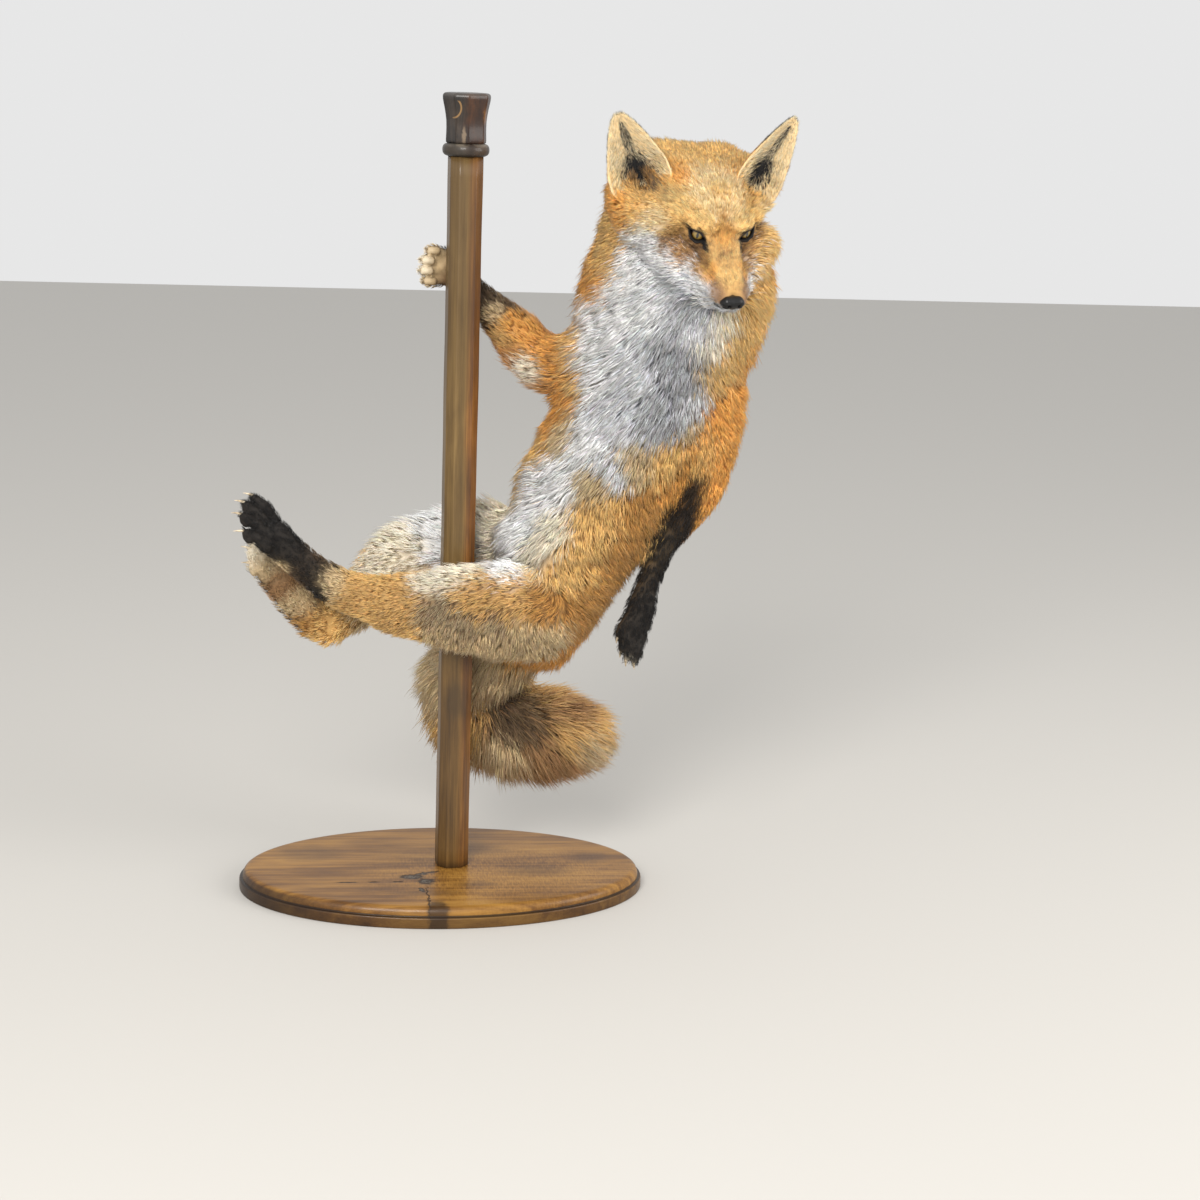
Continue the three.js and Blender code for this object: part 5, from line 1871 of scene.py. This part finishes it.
def woodTone(finish, place, grain, fine, broad):
    # streaks along the grain, slow cloudy changes and fine pores, each from 0 to 1
    streaks = finish.noise(finish.stretched(grain, source=place), 1, 6, 0.62, 0.5)
    cloud = finish.noise(finish.stretched(broad, source=place), 1, 4, 0.55, 0.3)
    pores = finish.noise(finish.stretched(fine, source=place), 1, 3, 0.65)
    return streaks, cloud, pores


def baseFinish():
    finish = Finish("stainedBoard", Specular_IOR_Level=0.25, Coat_Weight=0.16, Coat_Roughness=0.12)
    place = finish.own()
    streaks, cloud, pores = woodTone(finish, place, (5, 120, 60), (45, 1500, 900), (5, 17, 9))
    flecks = finish.noise(finish.stretched((520, 90, 90), source=place), 1, 3, 0.6)
    nearPole = 1 - finish.span(finish.spot((0.06, -0.03, 0), (0.20, 0.12, 99)), 0.3, 1.0)
    tone = streaks * 0.42 + cloud * 0.50 + pores * 0.16 + (flecks - 0.5) * 0.34 * nearPole - 0.06
    colour = finish.ramp(tone, (0.30, (0.24, 0.145, 0.05)), (0.42, (0.42, 0.28, 0.11)),
                  (0.53, (0.57, 0.41, 0.18)), (0.72, (0.72, 0.55, 0.27)))
    warped = finish.warped(place, 60, 0.012)
    stains = ((0.105, -0.02, 0.05, 0.022), (0.03, 0.05, 0.055, 0.03), (-0.15, 0.04, 0.05, 0.03),
              (0.17, 0.02, 0.03, 0.02), (0.035, -0.06, 0.03, 0.012), (-0.02, -0.085, 0.05, 0.01))
    for x, y, wide, deep in stains:
        share = 1 - finish.span(finish.spot((x, y, 0), (wide, deep, 99), source=warped), 0.3, 1.15)
        colour = finish.stain(colour, share * 0.42, (0.24, 0.15, 0.08))
    # the wall under the lip and the far left are darker, and the groove holds painted shade
    height = finish.part(place, "Z")
    wall = 1 - finish.span(height, 0.0105, 0.0145)
    colour = finish.stain(colour, wall * (0.46 + 0.3 * cloud), (0.16, 0.105, 0.06))
    # painted shade in the groove below the lip's round
    groove = 1 - finish.span(finish.distance(height, 0.0131), 0.0004, 0.0016)
    colour = finish.stain(colour, groove * 0.85, (0.07, 0.045, 0.03))
    lip = 1 - finish.span(height, 0.0195, 0.0225)
    leftEnd = 1 - finish.span(finish.part(warped, "X"), -0.20, -0.10)
    colour = finish.stain(colour, leftEnd * lip * 0.75, (0.12, 0.08, 0.055))
    # a knot with grey filler, three short slits in line with it and a crack to the edge
    near = finish.warped(place, 170, 0.010)
    knots = (((-0.036, -0.036, 0), (0.013, 0.0068, 99), 0), ((-0.020, -0.050, 0), (0.0085, 0.0095, 99), 0.4),
             ((-0.022, -0.026, 0), (0.018, 0.0032, 99), 0.42), ((-0.026, -0.076, 0), (0.003, 0.007, 99), 0.3))
    knot = None
    for middle, size, turn in knots:
        away = finish.spot(middle, size, source=near, turn=(0, 0, turn))
        knot = away if knot is None else knot.reckon("MINIMUM", away)
    colour = finish.stain(colour, (1 - finish.span(knot, 0.75, 1.35)) * 0.9, (0.13, 0.085, 0.05))
    grit = finish.noise(place, 420, 3, 0.6)
    filler = (1 - finish.span(knot, 0.45, 0.72)) * finish.span(grit, 0.42, 0.52)
    colour = finish.stain(colour, filler * 0.85, (0.36, 0.335, 0.30))
    slits = None
    for x, wide in ((-0.108, 0.013), (-0.078, 0.0075), (-0.052, 0.0065)):
        away = finish.spot((x, -0.0505, 0), (wide, 0.0016, 99), source=finish.warped(place, 300, 0.003))
        slits = away if slits is None else slits.reckon("MINIMUM", away)
    colour = finish.stain(colour, (1 - finish.span(slits, 0.6, 1.3)) * 0.95, (0.09, 0.055, 0.035))
    crack = finish.spot((-0.020, -0.098, 0), (0.0016, 0.040, 99), source=near)
    seam = 1 - finish.span(crack, 0.5, 1.1)
    colour = finish.stain(colour, seam * 0.8, (0.12, 0.075, 0.045))
    shadow = 1 - finish.span(finish.spot((-0.011, -0.128, 0), (0.013, 0.022, 99), source=near), 0.6, 1.1)
    colour = finish.stain(colour, shadow * 0.75, (0.12, 0.08, 0.05))
    ends = (1 - finish.span(slits, 0.6, 1.2)) + seam + (1 - finish.span(knot, 0.7, 1.2)) * 0.6
    relief = streaks * 0.35 + pores * 0.5 + flecks * nearPole * 0.2 - ends * 1.2
    finish.feed(Base_Color=colour, Roughness=0.30 + 0.22 * pores + 0.25 * ends.reckon("MINIMUM", 1.0),
                Normal=finish.bump(relief, 0.45, 0.0006))
    return finish.material


def poleFinish():
    finish = Finish("stainedPole", Specular_IOR_Level=0.35, Coat_Weight=0.2, Coat_Roughness=0.2)
    place = aboutPole(finish, poleShape["turn"])
    streaks, cloud, pores = woodTone(finish, place, (150, 150, 4.5), (1100, 1100, 26), (26, 26, 6.5))
    across, height = finish.part(place, "X"), finish.part(place, "Z")
    # painted light: the faces on the left greyer, as they catch the light, and those on the right warmer, as
    # they turn from it
    right = finish.span(across + (cloud - 0.5) * 0.010, -0.001, 0.010)
    tone = streaks * 0.50 + cloud * 0.42 + pores * 0.14
    grey = finish.ramp(tone, (0.34, (0.24, 0.175, 0.09)), (0.50, (0.37, 0.285, 0.15)),
                       (0.70, (0.50, 0.40, 0.23)))
    warm = finish.ramp(tone, (0.38, (0.18, 0.10, 0.04)), (0.50, (0.38, 0.23, 0.09)),
                       (0.68, (0.60, 0.40, 0.17)))
    colour = finish.blend(right, grey, warm)
    # darker streaks toward the right and brown below the animal
    lines = finish.noise(finish.stretched((420, 420, 3.2), source=place), 1, 4, 0.6, 0.6)
    dark = finish.span(lines, 0.52, 0.66) * finish.span(across, 0.000, 0.006)
    colour = finish.stain(colour, dark * 0.75, (0.25, 0.14, 0.06))
    low = 1 - finish.span(height + (cloud - 0.5) * 0.18, 0.16, 0.40)
    brown = finish.ramp(tone, (0.34, (0.17, 0.11, 0.055)), (0.52, (0.32, 0.22, 0.11)),
                        (0.70, (0.48, 0.34, 0.17)))
    colour = finish.blend(low * 0.55, colour, brown)
    high = finish.span(height + (cloud - 0.5) * 0.12, 0.50, 0.80)
    colour = finish.stain(colour, high * 0.5, (0.25, 0.185, 0.11))
    near = finish.warped(place, 55, 0.014)
    blotch = finish.spot((-0.002, -0.02, 0.222), (0.016, 0.03, 0.026), source=near)
    blotch = 1 - finish.span(blotch, 0.4, 1.2)
    colour = finish.stain(colour, blotch * 0.55, (0.20, 0.16, 0.11))
    # painted shade at the pole's foot, where it meets the board
    foot = 1 - finish.span(height, 0.023, 0.034)
    colour = finish.stain(colour, foot * 0.6, (0.15, 0.10, 0.06))
    relief = streaks * 0.5 + pores * 0.4 + lines * 0.3
    finish.feed(Base_Color=colour, Roughness=0.36 + 0.2 * pores, Normal=finish.bump(relief, 0.4, 0.0005))
    return finish.material


def darkWoodFinish(name, coat):
    # the finish so far, with its place, its colour and its streaks, cloud and pores
    finish = Finish(name, Specular_IOR_Level=0.3, Coat_Weight=coat, Coat_Roughness=0.14)
    place = aboutPole(finish)
    streaks, cloud, pores = woodTone(finish, place, (90, 90, 16), (700, 700, 90), (38, 38, 24))
    tone = streaks * 0.45 + cloud * 0.45 + pores * 0.15
    # painted light: grey on the left, where the glossy faces catch the light, and red on the right
    grey = finish.ramp(tone, (0.36, (0.06, 0.05, 0.04)), (0.52, (0.115, 0.095, 0.08)),
                       (0.70, (0.27, 0.22, 0.18)))
    red = finish.ramp(tone, (0.36, (0.09, 0.05, 0.03)), (0.52, (0.17, 0.095, 0.05)),
                      (0.70, (0.32, 0.19, 0.09)))
    right = finish.span(finish.part(place, "X") + (cloud - 0.5) * 0.012, -0.006, 0.003)
    return finish, place, finish.blend(right, grey, red), (streaks, cloud, pores)


def collarFinish():
    finish, place, colour, (streaks, cloud, pores) = darkWoodFinish("darkCollar", 0.25)
    height = finish.part(place, "Z")
    # a grey cast over the collar, partly dust and partly painted sheen
    dustAndSheen = finish.ramp(cloud, (0.35, (0.15, 0.13, 0.11)), (0.65, (0.29, 0.255, 0.21)))
    colour = finish.blend(0.55, colour, dustAndSheen)
    worn = finish.span(height, 0.825, 0.8288) * finish.span(cloud, 0.40, 0.60)
    colour = finish.stain(colour, worn * 0.4, (0.52, 0.48, 0.42))
    # painted shade on the collar's under side
    under = 1 - finish.span(height, 0.8163, 0.8195)
    colour = finish.stain(colour, under * 0.8, (0.05, 0.04, 0.035))
    relief = streaks * 0.4 + pores * 0.5 + cloud * 0.4
    finish.feed(Base_Color=colour, Roughness=0.40 + 0.2 * pores, Normal=finish.bump(relief, 0.5, 0.0007))
    return finish.material


def finialFinish():
    finish, place, colour, (streaks, cloud, pores) = darkWoodFinish("darkFinial", 0.3)
    across, height = finish.part(place, "X"), finish.part(place, "Z")
    front = 1 - finish.span(finish.part(place, "Y"), -0.012, -0.004)
    # a thin curved chip high on the left face, and the edge below it worn pale
    off = finish.spot((-0.0165, 0, 0.866), (0.0095, 99, 0.0105), source=place)
    side = finish.span(across, -0.0160, -0.0145)
    chip = (1 - finish.span(finish.distance(off, 1.0), 0.05, 0.13)) * side * front
    chip = chip * finish.span(height, 0.8545, 0.8565) * (1 - finish.span(height, 0.8725, 0.8745))
    colour = finish.stain(colour, chip * 0.8, (0.55, 0.42, 0.26))
    near = finish.warped(place, 260, 0.004)
    worn = finish.spot((-0.0035, -0.02, 0.838), (0.0026, 0.02, 0.011), source=near)
    worn = (1 - finish.span(worn, 0.4, 1.1)) * front
    colour = finish.stain(colour, worn * 0.7, (0.50, 0.43, 0.35))
    near = finish.warped(place, 200, 0.006)
    rubbed = finish.spot((0.019, -0.01, 0.858), (0.003, 0.03, 0.010), source=near)
    rubbed = 1 - finish.span(rubbed, 0.3, 1.1)
    colour = finish.stain(colour, rubbed * 0.6, (0.50, 0.33, 0.15))
    # a painted highlight along the finial's top rim
    edge = finish.span(height, 0.8765, 0.8800)
    colour = finish.stain(colour, edge * 0.45, (0.34, 0.32, 0.30))
    relief = streaks * 0.35 + pores * 0.35 + cloud * 0.5 - chip * 0.8
    finish.feed(Base_Color=colour, Roughness=0.26 + 0.22 * pores + 0.2 * cloud,
                Normal=finish.bump(relief, 0.5, 0.0008))
    return finish.material


fitPiece("base_board", baseMesh(baseValues, baseFinish()), "stained_wood", "base")
fitPiece("pole_post", poleMesh(poleShape, poleFinish()), "stained_wood", "pole")
fitPiece("collar_ring", collarMesh(collarValues, collarFinish()), "dark_wood", "collar")
fitPiece("finial_block", finialMesh(finialValues, finialFinish()), "dark_wood", "finial")
note("stand made")


# the glass eyes: a ball with a slight cornea, and the iris behind it
glassValues = {"iris": 6.5, "pupil": (1.15, 3.7), "cornea": 0.7, "corneaReach": 6.6, "rings": 40,
               "around": 56}


def eyeMesh(eye, values, material):
    name = "glass_eye_" + eye.side
    angles = np.linspace(0, math.pi, values["rings"] + 1)[1:-1]
    turns = np.arange(values["around"]) / values["around"] * tau
    radius = eyeValues["radius"]
    up = unit(headTurn[2] - eye.gaze * (headTurn[2] @ eye.gaze))
    side = np.cross(up, eye.gaze)
    outs, reaches = radius * np.cos(angles), radius * np.sin(angles)
    outs = outs + values["cornea"] * np.exp(-(reaches / values["corneaReach"]) ** 4) * (outs > 0)
    flat = np.stack([np.cos(turns), np.sin(turns)], -1)
    local = np.concatenate([np.column_stack([flat * reach, np.full(len(flat), out)])
                            for reach, out in zip(reaches, outs)]
                           + [[(0, 0, radius + values["cornea"])], [(0, 0, -radius)]])
    count, last = len(turns), len(angles) - 1
    faces = []
    for i in range(count):
        j = (i + 1) % count
        faces += [(level * count + i, (level + 1) * count + i, (level + 1) * count + j, level * count + j)
                  for level in range(last)]
        faces += [(len(local) - 2, i, j), (len(local) - 1, last * count + j, last * count + i)]
    mesh = makeMesh(name, eye.middle + local @ np.stack([side, up, eye.gaze]) * mm, faces)
    mesh.materials.append(material)
    layer = mesh.attributes.new("eyeFront", "FLOAT_VECTOR", "POINT")
    layer.data.foreach_set("vector", np.ascontiguousarray(local, np.float32).ravel())
    return facedOut(mesh)


def eyeFinish():
    finish = Finish("eyeGlass", Roughness=0.25, Specular_IOR_Level=0.6, Coat_Weight=1.0, Coat_Roughness=0.02)
    front = finish.attribute("eyeFront", "Vector")
    x, y, out = (finish.part(front, axis) for axis in "XYZ")
    away = (x * x + y * y) ** 0.5
    turn = finish.add("ShaderNodeMath", {"operation": "ARCTAN2"}, {0: y, 1: x})
    spokes = finish.add("ShaderNodeCombineXYZ", inputs={"X": turn * 9, "Y": away * 0.5, "Z": 0.0})
    fibre = finish.noise(spokes, 1, 4, 0.6)
    tone = away / glassValues["iris"] + (fibre - 0.5) * 0.35
    iris = finish.ramp(tone, (0.12, (0.28, 0.22, 0.09)), (0.42, (0.56, 0.47, 0.23)),
                       (0.70, (0.50, 0.39, 0.17)), (0.90, (0.24, 0.15, 0.06)), (1.0, (0.05, 0.035, 0.02)))
    wide, tall = glassValues["pupil"]
    slit = ((x / wide) ** 2 + (y.reckon("ABSOLUTE", 0) / tall) ** 2)
    pupil = 1 - finish.span(slit, 0.8, 1.2)
    colour = finish.blend(pupil, iris, linear((0.012, 0.010, 0.010)))
    outside = finish.span(away, glassValues["iris"] - 0.2, glassValues["iris"] + 0.3)
    outside = outside.reckon("MAXIMUM", 1 - finish.span(out, 0.0, 1.0))
    finish.feed(Base_Color=finish.blend(outside, colour, linear((0.05, 0.035, 0.025))))
    return finish.material


eyeGlass = eyeFinish()
for side, eye in eyes.items():
    fitPiece("glass_eye_" + side, eyeMesh(eye, glassValues, eyeGlass), "eye_glass", "eye_" + side)
note("eyes made")


# the nose pad, in millimetres from its seat: rounded wings, slit nostrils and the groove between
noseValues = {"step": 0.45, "reach": (15, 12, 12), "size": 1.12, "offset": (-1.6, 0.2, -3.2)}


def noseMesh(values, material):
    reach = np.array(values["reach"], float)
    step = values["step"]
    axes = [np.arange(-r, r + step, step) for r in reach]
    grid = np.stack(np.meshgrid(*axes, indexing="ij"), -1)
    shape = grid.shape[:3]
    grid = grid.reshape(-1, 3)

    def rod(start, end, first, last=None):
        start, end = np.array(start, float), np.array(end, float)
        way = end - start
        share = np.clip((grid - start) @ way / max(way @ way, 1e-9), 0, 1)
        return np.linalg.norm(grid - start - share[:, None] * way, axis=1) - mix(first, last or first, share)
    pad = rod((-5.0, -0.5, 0.4), (5.0, -0.5, 0.4), 5.8)
    pad = softMin(pad, rod((0, -3, -1.6), (0, -7, -1.2), 5.4, 5.0), 3)
    for sign in (-1, 1):     # the wings
        pad = softMin(pad, rod((sign * 6.6, 0.0, -0.6), (sign * 8.0, -2.4, -1.2), 4.6, 3.8), 1.6)
    pad = softMin(pad, rod((0, 0.4, -3.4), (0, -0.8, -6.2), 3.2, 2.2), 2)
    for sign in (-1, 1):     # the nostrils and their slits
        pad = softMax(pad, -rod((sign * 4.6, 6.8, -0.2), (sign * 5.4, 2.5, -0.2), 2.1, 1.3), 0.7)
        pad = softMax(pad, -rod((sign * 5.4, 6.0, -0.9), (sign * 12.0, 1.6, -2.3), 1.0, 0.8), 0.6)
    pad = softMax(pad, -rod((0, 7.0, -0.6), (0, 3.6, -8.6), 0.75), 0.6)
    volume = openvdb.FloatGrid(20)
    volume.copyFromArray(np.ascontiguousarray(pad.reshape(shape), np.float32))
    volume.transform = openvdb.createLinearTransform(1.0)
    places, triangles, quads = volume.convertToPolygons(0)
    places = places * step - reach
    faces = [tuple(face) for face in quads.tolist()] + [tuple(face) for face in triangles.tolist()]
    places = noseMiddle + (places * values["size"] + values["offset"]) @ headTurn * mm
    mesh = makeMesh("nose_pad", places, faces)
    mesh.materials.append(material)
    return facedOut(mesh)


def noseFinish():
    finish = Finish("noseLeather", Specular_IOR_Level=0.25, Coat_Weight=0.22, Coat_Roughness=0.12)
    place = finish.own()
    inputs = {"Vector": place, "Scale": 900}
    cells = finish.add("ShaderNodeTexVoronoi", {"feature": "DISTANCE_TO_EDGE"}, inputs)
    cloud = finish.noise(place, 160, 4, 0.6)
    tone = finish.ramp(cloud, (0.35, (0.012, 0.012, 0.015)), (0.65, (0.045, 0.043, 0.05)))
    relief = finish.span(cells, 0.0, 0.18) * 0.7 + cloud * 0.5
    finish.feed(Base_Color=tone, Roughness=0.24 + 0.25 * cloud, Normal=finish.bump(relief, 0.5, 0.0004))
    return finish.material


fitPiece("nose_pad", noseMesh(noseValues, noseFinish()), "nose_leather", "nose")
note("nose made")


# claws and whiskers: tapered curves swept by one tree
clawValues = {"length": 15.5, "root": 2.3, "tip": 0.25, "hook": 5.0, "steps": 9, "sides": 12}
whiskerValues = {"count": 11, "length": (26, 46), "thickness": 0.28, "sag": 9, "steps": 9, "sides": 4,
                 "seed": 31}


def sweptMesh(name, lines, thickness, sides, material):
    tree = NodeTree(name + "Tree", Sides=sides, Thickness=1.0)
    size = tree.given
    curve = tree.add("GeometryNodeMeshToCurve", inputs={"Mesh": size["Geometry"]})
    circle = tree.add("GeometryNodeCurvePrimitiveCircle", inputs={"Resolution": size["Sides"], "Radius": mm})
    width = tree.add("GeometryNodeInputNamedAttribute", {"data_type": "FLOAT"}, {"Name": "thickness"})
    width = tree.add("ShaderNodeMath", {"operation": "MULTIPLY"}, {0: width, 1: size["Thickness"]})
    swept = tree.add("GeometryNodeCurveToMesh", inputs={
        "Curve": curve, "Profile Curve": circle, "Scale": width, "Fill Caps": True})
    return tree.made(name, swept, makeLines(name + "Lines", lines, thickness), material)


def clawLines(values):
    lines, thickness = [], []
    for foot in feet.values():
        for _, middle, tip in foot.toes:
            along = unit(tip - middle)
            start = tip - foot.sole * 2.0 * mm - along * 2 * mm
            for share in np.linspace(0, 1, values["steps"]):
                hook = foot.sole * values["hook"] * share ** 2.2
                lines.append(start + (along * values["length"] * share + hook) * mm)
                width = mix(values["root"], values["tip"], share ** 1.35)
                thickness.append(width * (1 - 0.12 * (share == 0)))
    return list(np.array(lines).reshape(-1, values["steps"], 3)), thickness


def clawFinish():
    finish = Finish("clawHorn", Specular_IOR_Level=0.5, Coat_Weight=0.3, Coat_Roughness=0.2)
    cloud = finish.noise(finish.own(), 240, 4, 0.6)
    fine = finish.noise(finish.own(), 1400, 3, 0.6)
    tone = finish.ramp(cloud, (0.30, (0.42, 0.35, 0.27)), (0.52, (0.76, 0.69, 0.57)),
                       (0.70, (0.90, 0.86, 0.78)))
    finish.feed(Base_Color=tone, Roughness=0.35 + 0.2 * fine, Normal=finish.bump(fine, 0.3, 0.0003))
    return finish.material


def whiskerLines(values):
    chance = np.random.default_rng(values["seed"])
    steps = values["steps"]
    lines, thickness = [], []
    for sign in (-1, 1):
        for i in range(values["count"]):
            row, along = i % 3, i // 3
            start = inHead(sign * (13 + along * 1.2), 68 - along * 5.5, -36 - row * 3.6)
            way = headWay(sign * (1.0 + 0.2 * chance.random()), -0.35 - 0.2 * along - 0.2 * chance.random(),
                          0.10 - 0.28 * row)
            length = mix(*values["length"], chance.random())
            for share in np.linspace(0, 1, steps):
                sag = np.array([0, 0, values["sag"] * share ** 2.2])
                lines.append(start + way * length * share * mm - sag * mm)
                thickness.append(values["thickness"] * (1.05 - share))
    return list(np.array(lines).reshape(-1, steps, 3)), thickness


def whiskerFinish():
    finish = Finish("whiskerHair", Specular_IOR_Level=0.4)
    cloud = finish.noise(finish.own(), 60, 3, 0.5)
    tone = finish.ramp(cloud, (0.4, (0.12, 0.10, 0.09)), (0.6, (0.75, 0.72, 0.66)))
    finish.feed(Base_Color=tone, Roughness=0.35 + 0.15 * cloud)
    return finish.material


lines, thickness = clawLines(clawValues)
claws = sweptMesh("claws", lines, thickness, clawValues["sides"], clawFinish())
fitPiece("claws", claws, "claw_horn", *[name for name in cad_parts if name.startswith("claw_")])
lines, thickness = whiskerLines(whiskerValues)
whiskers = sweptMesh("whiskers", lines, thickness, whiskerValues["sides"], whiskerFinish())
fitPiece("whiskers", whiskers, "fur_black")
note("claws and whiskers made")


# a plain pale floor and soft studio light
studioValues = {
    "floor": (0.75, 0.74, 0.72),
    "reach": 6.0,
    "world": 0.8,
    "lamps": {
        "key": {"place": (-0.9, -2.8, 2.2), "size": 1.5, "power": 116, "colour": (1, 0.97, 0.93)},
        "fill": {"place": (2.4, -1.2, 1.4), "size": 1.6, "power": 40, "colour": (1, 0.98, 0.95)},
    },
    "aim": (0.1, 0, 0.5),
}


def makeStudio(values):
    reach = values["reach"]
    corners = np.array([(-reach, -reach, 0), (reach, -reach, 0), (reach, reach, 0), (-reach, reach, 0)])
    finish = Finish("floorFinish", Roughness=0.85)
    finish.feed(Base_Color=linear(values["floor"]))
    plane = makeMesh("floor", corners, np.array([[0, 1, 2, 3]]), False)
    makeObject("floor", plane, finish.material)
    world = bpy.data.worlds.new("studio")
    bpy.context.scene.world = world
    world.use_nodes = True
    world.node_tree.nodes["Background"].inputs["Color"].default_value = (1, 1, 1, 1)
    world.node_tree.nodes["Background"].inputs["Strength"].default_value = values["world"]
    for name, lamp in values["lamps"].items():
        light = bpy.data.lights.new(name, "AREA")
        light.energy, light.size, light.color = lamp["power"], lamp["size"], lamp["colour"]
        holder = bpy.data.objects.new(name, light)
        bpy.context.scene.collection.objects.link(holder)
        holder.location = lamp["place"]
        way = Vector(values["aim"]) - Vector(lamp["place"])
        holder.rotation_euler = way.to_track_quat("-Z", "Y").to_euler()
    bpy.context.scene.view_settings.view_transform = "Standard"


makeStudio(studioValues)
note("studio ready")
